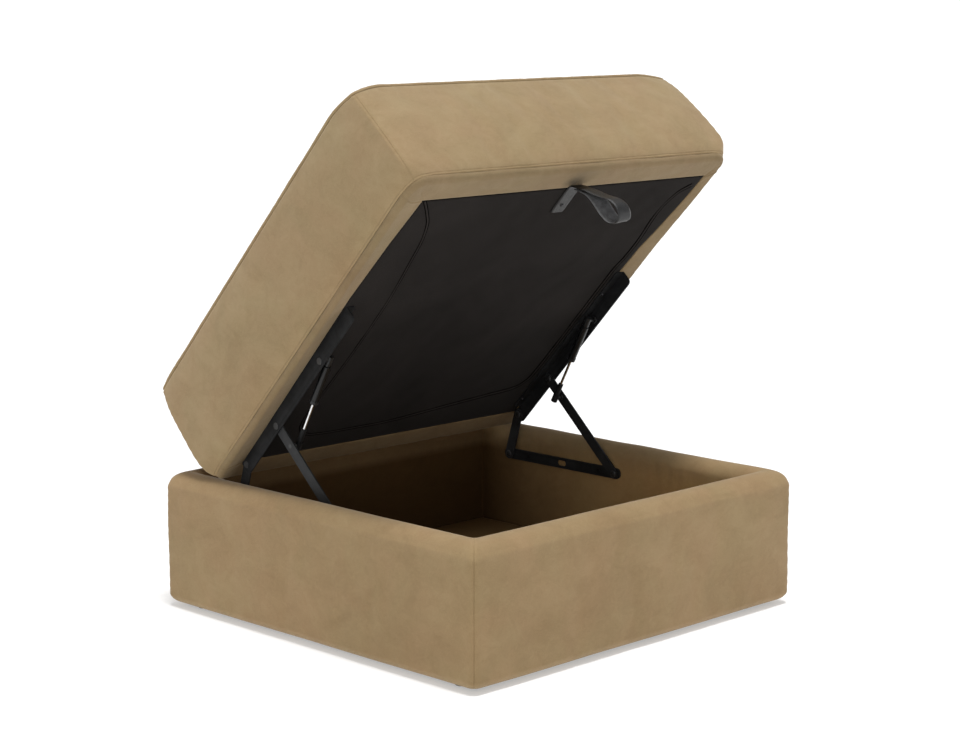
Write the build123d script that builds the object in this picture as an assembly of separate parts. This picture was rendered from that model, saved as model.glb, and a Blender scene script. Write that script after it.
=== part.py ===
from build123d import *
import math
import os

# Storage ottoman with a padded lid on a pair of gas-lift linkage hinges, lid open.
# Millimetres. +Z up, front of the ottoman towards -Y, left side towards -X.

os.makedirs("parts", exist_ok=True)

# ---------------------------------------------------------------- driving sizes
Y_SHIFT = -17.0  # base centre in Y, so that the open ottoman's box is centred on the origin

BASE_W, BASE_D = 860.0, 838.0  # padded base, outside
GLIDE_H = 5.5
BASE_Z0 = 6.5  # underside of the padded walls
RIM_Z = 261.5  # top of the rolled rim
WALL = 60.0  # padded wall thickness
LINING = 16.0  # padding on the inner side of a board
BOARD = 18.0  # frame board thickness
BOARD_TOP = 234.0
RIM_R = 28.0
FOOT_R = 18.0  # rounding along the bottom outer edge
CORNER_R = 24.0
FLOOR_Z0 = 32.0  # underside of the floor panel, housed between the boards
FLOOR_T = 12.0
FLOOR_PAD = 8.0

LID_W, LID_D = 818.7, 808.0  # seam outline of the lid
LID_T = 218.4  # lower seam to top welt
LID_ANGLE = 47.35  # open angle
LID_Y, LID_Z = 294.34, 267.5  # lower rear seam of the open lid (base frame)
SKIN = 8.0  # padded side panel thickness
BULGE = 10.5  # extra fullness at mid height of a side panel
ROLL = 11.0  # depth of the padded border below the lower seam
UNDER = 6.0  # dust cover plane below the lower seam
BORDER_IN = 36.0  # border width under the lid, inside the skin
BORDER_FRONT = 47.6  # the same along the front
CROWN = 12.0
WELT_R = 4.0
PANEL_TOP = 211.5
DECK_Z, DECK_T = 130.0, 9.0
FOAM_TOP = 208.4
EASE_R = 48.0  # corners of the lid's frame, deck and foam

PIV_A = (273.01, 203.99)  # rear pivot on the base bar (y, z)
PIV_C = (-20.94, 203.99)  # front pivot on the base bar
PIV_B = (247.39, 290.91)  # rear link on the lid rail
PIV_D = (159.84, 376.53)  # front link on the lid rail
PIV_S = (36.31, 511.76)  # gas strut on the lid rail
PIV_E = (124.61, 342.91)  # gas strut on the front link

PIN_R = 4.0
PIN_GAP = 0.05
BAR_T, BAR_W = 4.0, 22.0
LINK_T = 3.0
REAR_LINK_W, FRONT_LINK_W = 22.0, 21.0
RAIL_T, RAIL_H, FLANGE_W = 2.5, 29.0, 20.0
RAIL_Y0, RAIL_Y1 = -40.0, -482.0  # rail ends along the lid
STRUT_X = 345.0
CYL_R, BORE_R, ROD_R = 7.5, 6.5, 3.0

STRAP_W, STRAP_X, STRAP_T = 34.0, 22.0, 2.5

# ---------------------------------------------------------------- derived
W2, D2 = BASE_W / 2, BASE_D / 2
XI, YI = W2 - WALL, D2 - WALL  # inner faces of the walls
LW2 = LID_W / 2
XB = XI - BAR_T  # inner face of the base bar
XL0, XL1 = XB - 0.5, XB - 0.5 - LINK_T  # link layer, outer and inner face
XH0, XH1 = XL1 - 0.4, XL1 - 0.4 - 2.5  # pin heads
SH = Pos(0, Y_SHIFT, 0)
LID = Location((0, LID_Y + Y_SHIFT, LID_Z), (-LID_ANGLE, 0, 0))
CT, ST = math.cos(math.radians(LID_ANGLE)), math.sin(math.radians(LID_ANGLE))


def lid_yz(p):
    """A base-frame (y, z) point in the lid's own (y, z)."""
    dy, dz = p[0] - LID_Y, p[1] - LID_Z
    return (dy * CT - dz * ST, dy * ST + dz * CT)


def save(name, shape):
    export_step(shape, "parts/" + name + ".step")


def rod_x(x0, x1, r, y, z):
    """A round bar along X."""
    a, b = min(x0, x1), max(x0, x1)
    return Pos((a + b) / 2, y, z) * (Rot(0, 90, 0) * Cylinder(r, b - a))


def cone_x(x0, x1, r0, r1, y, z):
    """A tapered bar along X from radius r0 at x0 to r1 at x1 (x1 below x0)."""
    return Pos((x0 + x1) / 2, y, z) * (Rot(0, -90, 0) * Cone(r0, r1, x0 - x1))


def block(x0, x1, y0, y1, z0, z1):
    return Pos((x0 + x1) / 2, (y0 + y1) / 2, (z0 + z1) / 2) * Box(x1 - x0, y1 - y0, z1 - z0)


def side_plane(side, hx, hy):
    """A plane across one wall: local x outwards, local y up; and the wall's length."""
    if side == "front":
        return Plane(origin=(W_BIG, -hy, 0), x_dir=(0, -1, 0), z_dir=(-1, 0, 0)), 2 * W_BIG
    if side == "back":
        return Plane(origin=(-W_BIG, hy, 0), x_dir=(0, 1, 0), z_dir=(1, 0, 0)), 2 * W_BIG
    if side == "right":
        return Plane(origin=(hx, W_BIG, 0), x_dir=(1, 0, 0), z_dir=(0, -1, 0)), 2 * W_BIG
    return Plane(origin=(-hx, -W_BIG, 0), x_dir=(-1, 0, 0), z_dir=(0, 1, 0)), 2 * W_BIG


W_BIG = 460.0


def wedge(side, hx, hy, z0, z1):
    """The mitred share of a rectangular ring that belongs to one side."""
    m, g = 260.0, 40.0
    if side in ("front", "back"):
        s = -1 if side == "front" else 1
        pts = [(-hx - g, s * (hy + g)), (hx + g, s * (hy + g)), (hx - m, s * (hy - m)), (-hx + m, s * (hy - m))]
    else:
        s = -1 if side == "left" else 1
        pts = [(s * (hx + g), -hy - g), (s * (hx + g), hy + g), (s * (hx - m), hy - m), (s * (hx - m), -hy + m)]
    return Pos(0, 0, z0) * extrude(make_face(Polyline(*pts, close=True)), z1 - z0, dir=(0, 0, 1))


def both(name, shape):
    """Save the right-hand piece and its mirror image on the left."""
    save(name + "_right", shape)
    save(name + "_left", mirror(shape, about=Plane.YZ))


def slot_yz(p, q, w, x_out, x_in):
    """A flat bar with round ends between two (y, z) points, its thickness along X."""
    ang = math.degrees(math.atan2(q[1] - p[1], q[0] - p[0]))
    length = math.hypot(q[0] - p[0], q[1] - p[1])
    sk = SlotCenterToCenter(length, w)
    bar = extrude(sk, x_out - x_in, dir=(0, 0, 1))  # local x along the bar, local y across, local z thickness
    pl = Plane(origin=(x_in, (p[0] + q[0]) / 2, (p[1] + q[1]) / 2), x_dir=(0, math.cos(math.radians(ang)), math.sin(math.radians(ang))), z_dir=(1, 0, 0))
    return pl * bar


# ---------------------------------------------------------------- base frame
bx, by = W2 - (WALL - LINING - BOARD), D2 - (WALL - LINING - BOARD)  # outer faces of the boards
board_front = block(-bx, bx, -by, -by + BOARD, BASE_Z0, BOARD_TOP)
board_back = block(-bx, bx, by - BOARD, by, BASE_Z0, BOARD_TOP)
board_right = block(bx - BOARD, bx, -by + BOARD, by - BOARD, BASE_Z0, BOARD_TOP)
board_left = mirror(board_right, about=Plane.YZ)

# base bar screws: countersunk head flush with the bar, which the front link passes over, and a shank into the board
SCREW_Y = (219.8, 24.0)
bar_screws = None
for sy in SCREW_Y:
    s = rod_x(XB + 2.0, XB + 26.0, 2.5, sy, PIV_A[1]) + cone_x(XB + 2.3, XB, 2.5, 4.8, sy, PIV_A[1])
    s = s - (Pos(XB, sy, PIV_A[1]) * Box(2.4, 4.8, 1.1)) - (Pos(XB, sy, PIV_A[1]) * Box(2.4, 1.1, 4.8))
    bar_screws = s if bar_screws is None else Compound([*bar_screws.solids(), *s.solids()])
shanks_r = [rod_x(XB, XB + 26.0, 2.5, sy, PIV_A[1]) for sy in SCREW_Y]
shanks_l = [mirror(s, about=Plane.YZ) for s in shanks_r]
GLIDES = {"front_left": (-391.0, -352.0), "front_right": (391.0, -352.0), "back_left": (-391.0, 352.0), "back_right": (391.0, 352.0)}

for s in shanks_r:
    board_right = board_right - s
for s in shanks_l:
    board_left = board_left - s
save("base_board_front", SH * board_front)
save("base_board_back", SH * board_back)
save("base_board_right", SH * board_right)
save("base_board_left", SH * board_left)

# ---------------------------------------------------------------- padded walls
FLOOR_TOP = FLOOR_Z0 + FLOOR_T
wall = Polyline((0, FLOOR_TOP), (0, RIM_Z), (WALL, RIM_Z), (WALL, BASE_Z0), (LINING + BOARD, BASE_Z0),
                (LINING + BOARD, BOARD_TOP), (LINING, BOARD_TOP), (LINING, FLOOR_TOP), close=True)
wall_face = make_face(wall)
tops = [v for v in wall_face.vertices() if abs(v.Y - RIM_Z) < 0.01]
foot = [v for v in wall_face.vertices() if abs(v.Y - BASE_Z0) < 0.01 and abs(v.X - WALL) < 0.01]
wall_face = fillet(tops, RIM_R)
foot = [v for v in wall_face.vertices() if abs(v.Y - BASE_Z0) < 0.01 and abs(v.X - WALL) < 0.01]
wall_face = fillet(foot, FOOT_R)
prism = extrude(RectangleRounded(BASE_W, BASE_D, CORNER_R), RIM_Z + 10, dir=(0, 0, 1))
for side in ("front", "back", "left", "right"):
    pl, length = side_plane(side, XI, YI)
    pad = extrude(pl * wall_face, length, dir=tuple(pl.z_dir))
    pad = (pad & wedge(side, W2, D2, 0, RIM_Z + 10)) & prism
    for s in shanks_r if side == "right" else shanks_l if side == "left" else []:
        pad = pad - s
    save("base_pad_" + side, SH * pad)

# ---------------------------------------------------------------- floor, underside, glides
fx, fy = bx - BOARD, by - BOARD
save("floor_panel", SH * block(-fx, fx, -fy, fy, FLOOR_Z0, FLOOR_TOP))
lining = block(-XI, XI, -YI, YI, FLOOR_TOP, FLOOR_TOP + FLOOR_PAD)
lining = fillet(lining.edges().group_by(Axis.Z)[-1], 4.0)
save("floor_lining", SH * lining)
save("base_dust_cover", SH * (Pos(0, 0, GLIDE_H) * extrude(RectangleRounded(BASE_W - 50, BASE_D - 50, 12), BASE_Z0 - GLIDE_H, dir=(0, 0, 1))))
for name, (gx, gy) in GLIDES.items():
    g = Pos(gx, gy, GLIDE_H / 2) * Cone(13.0, 15.0, GLIDE_H)
    g = fillet(g.edges().group_by(Axis.Z)[0], 1.5)
    save("glide_" + name, SH * g)

# ---------------------------------------------------------------- base bars and their pins
ext = 4.0
bar = slot_yz((PIV_A[0] + ext, PIV_A[1]), (PIV_C[0] - ext, PIV_C[1]), BAR_W, XI, XB)
for p in (PIV_A, PIV_C):
    bar = bar - rod_x(XI, XB, PIN_R, p[0], p[1])
for s in shanks_r:
    bar = bar - s
for sy in SCREW_Y:
    bar = bar - cone_x(XB + 2.4, XB, 2.5, 4.9, sy, PIV_A[1])
bar = bar - slot_yz((131.2, PIV_A[1]), (118.8, PIV_A[1]), 11.5, XI, XB)
both("base_bar", SH * bar)
both("base_bar_screws", SH * bar_screws)


def pin(x_out, x_in_head, p, head_r=7.0):
    """A shouldered pin: shank from x_out inwards, flat domed head on the inside."""
    body = rod_x(x_out, XH0, PIN_R, p[0], p[1])
    head = rod_x(XH0, XH0 - 1.2, head_r, p[0], p[1]) + cone_x(XH0 - 1.2, XH1, head_r, head_r - 2.2, p[0], p[1])
    return body + head


pins = [pin(XI, XH1, p) for p in (PIV_A, PIV_C)]
both("base_pins", SH * Compound([s for p in pins for s in p.solids()]))

# ---------------------------------------------------------------- links
rear = slot_yz(PIV_A, PIV_B, REAR_LINK_W, XL0, XL1)
for p in (PIV_A, PIV_B):
    rear = rear - rod_x(XL0, XL1, PIN_R + PIN_GAP, p[0], p[1])
both("rear_link", SH * rear)

front = slot_yz(PIV_C, PIV_D, FRONT_LINK_W, XL0, XL1)
front = front - rod_x(XL0, XL1, PIN_R + PIN_GAP, PIV_C[0], PIV_C[1])
front = front - rod_x(XL0, XL1, PIN_R, PIV_D[0], PIV_D[1]) - rod_x(XL0, XL1, PIN_R, PIV_E[0], PIV_E[1])
both("front_link", SH * front)

d_pin = rod_x(XL0, XL1, PIN_R, *PIV_D) + rod_x(XL1, XL1 - 1.2, 7.0, *PIV_D) + cone_x(XL1 - 1.2, XL1 - 2.8, 7.0, 4.8, *PIV_D)
e_stud = rod_x(XL0, XL1, PIN_R, *PIV_E) + rod_x(XL1, XL1 - 3.0, 6.0, *PIV_E) + rod_x(XL1 - 3.0, STRUT_X + 7.2, 4.0, *PIV_E)
both("front_link_pins", SH * Compound([*d_pin.solids(), *e_stud.solids()]))

# ---------------------------------------------------------------- lid frame
HX, HY = LW2 - SKIN, LID_D / 2 - SKIN  # inner face of the side panels, about the lid's middle
YC = -LID_D / 2
MID = Pos(0, YC, 0)
FZ0 = -UNDER + 1.0
FV = 18.0


def frame_piece(side):
    foot_w = {"front": 107.0, "back": 60.0, "left": 70.0, "right": 70.0}[side]
    prof = make_face(Polyline((0, FZ0), (0, DECK_Z), (-FV, DECK_Z), (-FV, FZ0 + 20), (-foot_w, FZ0 + 20), (-foot_w, FZ0), close=True))
    pl, length = side_plane(side, HX, HY)
    p = extrude(pl * prof, length, dir=tuple(pl.z_dir))
    if side in ("front", "back"):
        return p & block(-HX, HX, -HY, HY, -50, 300)
    return p & block(-HX, HX, -HY + 107.0, HY - 60.0, -50, 300)


eased = Pos(0, YC, -50) * extrude(RectangleRounded(2 * HX, 2 * HY, EASE_R), 400, dir=(0, 0, 1))  # corners eased under the padding
RS_Y = (-89.0, -415.7)  # rail screw places along the lid
FX = XB - 11.0  # rail screws across the lid
rail_shank = [Pos(s * FX, y, (-UNDER - 1 - RAIL_T + 8.0) / 2) * Cylinder(2.25, 8.0 + UNDER + 1 + RAIL_T) for s in (1, -1) for y in RS_Y]
strap_z = -UNDER - 1.0
strap_shank = Pos(STRAP_X, -708.0, (strap_z - STRAP_T + 6.0) / 2) * Cylinder(2.0, 6.0 - strap_z + STRAP_T)
for side in ("front", "back", "left", "right"):
    f = MID * frame_piece(side)
    if side in ("left", "right"):
        for s in rail_shank:
            f = f - s
    if side == "front":
        f = f - strap_shank
    if side in ("left", "right"):
        # the tall side boards stop against the front and back boards
        f = f + (MID * block((HX - FV) if side == "right" else -HX, HX if side == "right" else -(HX - FV), -HY + FV, HY - FV, FZ0 + 20, DECK_Z))
    save("lid_frame_" + side, LID * (f & eased))
save("lid_deck", LID * ((MID * block(-HX, HX, -HY, HY, DECK_Z, DECK_Z + DECK_T)) & eased))
foam = MID * block(-HX, HX, -HY, HY, DECK_Z + DECK_T, FOAM_TOP)
save("lid_foam", LID * (foam & eased))

# ---------------------------------------------------------------- lid cover
lid_prism = Pos(0, YC, -40) * extrude(RectangleRounded(LID_W + 2 * BULGE, LID_D + 2 * BULGE, 14.0), 320, dir=(0, 0, 1))
panel = make_face(Line((0, 0), (SKIN, 0)) + ThreePointArc((SKIN, 0), (SKIN + BULGE, PANEL_TOP / 2), (SKIN, PANEL_TOP)) + Line((SKIN, PANEL_TOP), (0, PANEL_TOP)) + Line((0, PANEL_TOP), (0, 0)))


def border_face(w):
    return make_face(Line((0, 0), (SKIN, 0)) + ThreePointArc((SKIN, 0), (SKIN - 0.6, -7.4), (0.0, -ROLL)) + Line((0.0, -ROLL), (-w, -UNDER))
                     + Line((-w, -UNDER), (-w, FZ0)) + Line((-w, FZ0), (0, FZ0)) + Line((0, FZ0), (0, 0)))


for side in ("front", "back", "left", "right"):
    pl, length = side_plane(side, HX, HY)
    w = MID * wedge(side, LW2, LID_D / 2, -40, 280)
    p = MID * extrude(pl * panel, length, dir=tuple(pl.z_dir))
    save("lid_panel_" + side, LID * ((p & w) & lid_prism))
    b = MID * extrude(pl * border_face(BORDER_FRONT if side == "front" else BORDER_IN), length, dir=tuple(pl.z_dir))
    save("lid_border_" + side, LID * ((b & w) & lid_prism))

# crowned top panel: a slab that rises to a lower crown in the middle
slab = Pos(0, 0, FOAM_TOP) * extrude(RectangleRounded(2 * HX, 2 * HY, 12.0), LID_T - FOAM_TOP, dir=(0, 0, 1))
crown = loft([Pos(0, 0, LID_T) * RectangleRounded(2 * HX, 2 * HY, 12.0), Pos(0, 0, LID_T + CROWN) * RectangleRounded(2 * HX - 320, 2 * HY - 320, 60.0)])
save("lid_top_panel", LID * (MID * (slab + crown)))

# welt along the top edge
wr = 16.0
ring = RectangleRounded(LID_W - 2 * WELT_R, LID_D - 2 * WELT_R, wr).wire()
sec = Plane(origin=ring @ 0, x_dir=(0, 0, 1), z_dir=ring % 0) * Circle(WELT_R)
welt = sweep(sec, path=ring)
save("lid_welt", LID * (Pos(0, YC, PANEL_TOP + WELT_R) * welt))

# dust cover
dg, df = BORDER_IN + 0.35, BORDER_FRONT + 0.35
dc = block(-(HX - dg), HX - dg, -(LID_D - SKIN - df), -(SKIN + dg), -UNDER - 1.0, -UNDER)
for s in rail_shank:
    dc = dc - s
dc = dc - strap_shank
save("lid_dust_cover", LID * dc)

# ---------------------------------------------------------------- hinge rails on the lid
B, D, S = lid_yz(PIV_B), lid_yz(PIV_D), lid_yz(PIV_S)
RZ1 = -UNDER - 1.0  # top of the flange
RZ0 = RZ1 - RAIL_H
plate = block(XB, XB + RAIL_T, RAIL_Y1, RAIL_Y0, RZ0, RZ1)
low = [e for e in plate.edges().filter_by(Axis.X) if e.center().Z < RZ0 + 0.1]
plate = fillet(low, 9.0)
flange = block(XB - FLANGE_W, XB, RAIL_Y1, RAIL_Y0 - 26.0, RZ1 - RAIL_T, RZ1)
inner = [e for e in flange.edges().filter_by(Axis.Z) if e.center().X < XB - FLANGE_W + 0.1]
flange = fillet(inner, 6.0)
rail = plate + flange
for p in (B, D, S):
    rail = rail - rod_x(XB, XB + RAIL_T, PIN_R, p[0], p[1])
for s in rail_shank[:2]:
    rail = rail - s
both("hinge_rail", LID * rail)

rs = []
for y in RS_Y:
    h = Pos(FX, y, RZ1 - RAIL_T - 1.25) * Cone(3.2, 4.6, 2.5)
    h = h + Pos(FX, y, (RZ1 - RAIL_T + 8.0) / 2) * Cylinder(2.25, 8.0 - RZ1 + RAIL_T)
    h = h - Pos(FX, y, RZ1 - RAIL_T - 2.5) * Box(1.1, 4.6, 2.2) - Pos(FX, y, RZ1 - RAIL_T - 2.5) * Box(4.6, 1.1, 2.2)
    rs.append(h)
both("rail_screws", LID * Compound([s for h in rs for s in h.solids()]))

XO = XB + RAIL_T  # outer face of the rail
b_pin = rod_x(XO, XH0, PIN_R, *B) + rod_x(XH0, XH0 - 1.2, 7.0, *B) + cone_x(XH0 - 1.2, XH1, 7.0, 4.8, *B) + rod_x(XO + 1.0, XO, 6.5, *B)
d_cap = rod_x(XO, XB, PIN_R, *D) + rod_x(XO + 1.0, XO, 6.5, *D)
s_stud = (rod_x(XO + 1.0, XO, 6.5, *S) + rod_x(XO, XB, PIN_R, *S) + rod_x(XB, XB - 4.0, 6.5, *S) + rod_x(XB - 4.0, STRUT_X + 2.0, 3.0, *S)
          + Pos(STRUT_X, S[0], S[1]) * (Rot(0, 90, 0) * Sphere(5.0)))
both("rail_pins", LID * Compound([*b_pin.solids(), *d_cap.solids(), *s_stud.solids()]))

# ---------------------------------------------------------------- gas struts
sdir = ((PIV_E[0] - PIV_S[0]), (PIV_E[1] - PIV_S[1]))
slen = math.hypot(*sdir)
su = (0.0, sdir[0] / slen, sdir[1] / slen)
STRUT = Plane(origin=(STRUT_X, PIV_S[0], PIV_S[1]), x_dir=(1, 0, 0), z_dir=su)


def along(t0, t1, r):
    return Pos(0, 0, (t0 + t1) / 2) * Cylinder(r, t1 - t0)


CYL_END = 96.0
tube = along(14.0, CYL_END - 7.0, CYL_R) + along(CYL_END - 7.0, CYL_END, CYL_R + 0.7) - along(18.0, 90.0, BORE_R) - along(89.0, CYL_END, ROD_R + PIN_GAP)
socket = along(-7.5, 12.0, 6.5) + along(12.0, 14.0, 4.5)
socket = socket - Rot(0, 90, 0) * Sphere(5.0 + PIN_GAP) - Pos(4.0, 0, 0) * (Rot(0, 90, 0) * Cylinder(3.9, 8.0))
both("strut_cylinder", SH * (STRUT * (tube + socket)))
rodp = along(80.0, 166.0, ROD_R) + along(78.0, 84.0, BORE_R - PIN_GAP)
both("strut_rod", SH * (STRUT * rodp))
end = along(155.0, 184.5, 5.2) + along(slen - 7.0, slen + 7.0, 6.5) - along(155.0, 166.0, ROD_R)
both("strut_rod_end", SH * (STRUT * end))

# ---------------------------------------------------------------- pull strap
x0 = STRAP_X - STRAP_W / 2
tail = block(x0, x0 + STRAP_W, -757.0, -688.0, strap_z - STRAP_T, strap_z)
tail = fillet([e for e in tail.edges().filter_by(Axis.Z) if e.center().Y > -700], 5.0) - strap_shank
save("strap_tail", LID * tail)
sc = Pos(STRAP_X, -708.0, strap_z - STRAP_T - 1.0) * Cone(2.6, 3.8, 2.0) + strap_shank
save("strap_screw", LID * sc)

FOLD = (-759.0, -12.5)  # line the loop swings about
outer = [(-761.3, -13.5), (-781.0, -43.5), (-790.0, -60.0), (-799.5, -75.5), (-810.0, -90.0), (-814.5, -107.0), (-810.5, -124.0), (-800.0, -132.5),
         (-787.5, -129.0), (-778.5, -115.0), (-777.0, -96.0), (-778.5, -78.0), (-778.5, -60.0), (-775.0, -44.0), (-757.0, -14.0)]
hole = [(-784.2, -56.0), (-788.2, -61.6), (-797.4, -76.8), (-807.7, -91.0), (-812.0, -107.0), (-808.5, -122.8), (-799.7, -129.9),
        (-789.0, -126.8), (-780.8, -114.3), (-779.5, -96.0), (-781.0, -78.2), (-781.6, -62.0)]
o_face = make_face(Spline(*[Vector(*p) for p in outer]) + Line(outer[-1], outer[0]))
h_face = make_face(Spline(*[Vector(*p) for p in hole], Vector(*hole[0])))
strap_pl = Plane(origin=(x0, 0, 0), x_dir=(0, 1, 0), z_dir=(1, 0, 0))
loop = extrude(strap_pl * o_face, STRAP_W, dir=(1, 0, 0)) - extrude(strap_pl * h_face, STRAP_W, dir=(1, 0, 0))
loop = loop + rod_x(x0, x0 + STRAP_W, 2.5, *FOLD)
save("strap_loop", LID * loop)
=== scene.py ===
import math

import bmesh
import bpy
import numpy as np
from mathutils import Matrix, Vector


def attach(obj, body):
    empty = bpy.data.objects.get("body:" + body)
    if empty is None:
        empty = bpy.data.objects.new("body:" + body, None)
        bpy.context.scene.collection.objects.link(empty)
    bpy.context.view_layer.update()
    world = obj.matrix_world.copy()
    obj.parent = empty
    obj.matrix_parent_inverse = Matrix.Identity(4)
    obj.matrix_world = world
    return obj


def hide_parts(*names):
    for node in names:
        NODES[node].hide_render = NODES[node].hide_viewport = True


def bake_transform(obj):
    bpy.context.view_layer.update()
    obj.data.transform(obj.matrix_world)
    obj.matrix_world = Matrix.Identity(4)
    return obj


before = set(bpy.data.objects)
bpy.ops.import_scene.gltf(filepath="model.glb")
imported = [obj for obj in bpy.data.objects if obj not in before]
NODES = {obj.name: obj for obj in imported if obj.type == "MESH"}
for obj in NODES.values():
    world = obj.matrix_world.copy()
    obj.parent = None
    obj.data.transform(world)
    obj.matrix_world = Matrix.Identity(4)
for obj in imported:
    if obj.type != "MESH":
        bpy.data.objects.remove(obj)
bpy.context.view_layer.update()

scene = bpy.context.scene

# ------------------------------------------------------------------ sizes, mm
YS = -17.0
BASE_HX, BASE_HY = 430.0, 419.0
BASE_Z0, RIM_Z, WALL = 6.5, 261.5, 60.0
LID_HX, LID_HY = 409.35, 404.0
LID_Y, LID_Z, LID_A = 277.34, 267.5, math.radians(47.35)
CT, ST = math.cos(LID_A), math.sin(LID_A)


def to_world(p):
    """Lid coordinates (y 0 at the rear seam, z 0 at the lower seam) to the row frame, mm."""
    p = np.asarray(p, float)
    return np.stack([p[..., 0], LID_Y + p[..., 1] * CT + p[..., 2] * ST, LID_Z - p[..., 1] * ST + p[..., 2] * CT], -1)


# ------------------------------------------------------------------ camera
cam_data = bpy.data.cameras.new("camera")
cam = bpy.data.objects.new("camera", cam_data)
scene.collection.objects.link(cam)
cam_data.sensor_fit = "HORIZONTAL"
cam_data.sensor_width = 36.0
cam_data.lens = 86.74
cam_data.clip_end = 3000.0
cam.location = (-3.0630, -3.0840, 1.1769)
cam.rotation_euler = (Vector((0.0029, -0.0170, 0.4640)) - cam.location).to_track_quat("-Z", "Y").to_euler()
scene.camera = cam


# ------------------------------------------------------------------ materials
def new_mat(name):
    m = bpy.data.materials.new(name)
    m.use_nodes = True
    nt = m.node_tree
    nt.nodes.clear()
    out = nt.nodes.new("ShaderNodeOutputMaterial")
    bsdf = nt.nodes.new("ShaderNodeBsdfPrincipled")
    nt.links.new(bsdf.outputs[0], out.inputs[0])
    return m, nt, bsdf


def node(nt, kind, **sets):
    n = nt.nodes.new(kind)
    for k, v in sets.items():
        setattr(n, k, v)
    return n


def put(nt, socket, v):
    if isinstance(v, bpy.types.NodeSocket):
        nt.links.new(v, socket)
    else:
        socket.default_value = v


def math_n(nt, op, a, b=0.0, c=None, clamp=False):
    n = node(nt, "ShaderNodeMath", operation=op, use_clamp=clamp)
    put(nt, n.inputs[0], a)
    put(nt, n.inputs[1], b)
    if c is not None:
        put(nt, n.inputs[2], c)
    return n.outputs[0]


def coords(nt, stretch=(1, 1, 1), turn=(0, 0, 0)):
    tc = node(nt, "ShaderNodeTexCoord")
    mp = node(nt, "ShaderNodeMapping")
    mp.inputs["Scale"].default_value = stretch
    mp.inputs["Rotation"].default_value = turn
    nt.links.new(tc.outputs["Object"], mp.inputs["Vector"])
    return mp.outputs[0]


def noise(nt, vec, scale, detail=2.0, rough=0.5, distortion=0.0):
    n = node(nt, "ShaderNodeTexNoise")
    nt.links.new(vec, n.inputs["Vector"])
    n.inputs["Scale"].default_value = scale
    n.inputs["Detail"].default_value = detail
    n.inputs["Roughness"].default_value = rough
    n.inputs["Distortion"].default_value = distortion
    return n.outputs[0]


def ramp(nt, fac, stops):
    r = node(nt, "ShaderNodeValToRGB")
    el = r.color_ramp.elements
    while len(el) < len(stops):
        el.new(0.5)
    for e, (pos, col) in zip(el, stops):
        e.position = pos
        e.color = (*col, 1.0) if len(col) == 3 else col
    nt.links.new(fac, r.inputs[0])
    return r.outputs[0]


def mix_col(nt, fac, a, b, mode="MIX"):
    n = node(nt, "ShaderNodeMix", data_type="RGBA", blend_type=mode)
    put(nt, n.inputs[0], fac)
    put(nt, n.inputs[6], a)
    put(nt, n.inputs[7], b)
    return n.outputs[2]


def bump(nt, height, strength, distance, normal=None):
    b = node(nt, "ShaderNodeBump")
    b.inputs["Strength"].default_value = strength
    b.inputs["Distance"].default_value = distance
    nt.links.new(height, b.inputs["Height"])
    if normal is not None:
        nt.links.new(normal, b.inputs["Normal"])
    return b.outputs[0]


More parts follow.
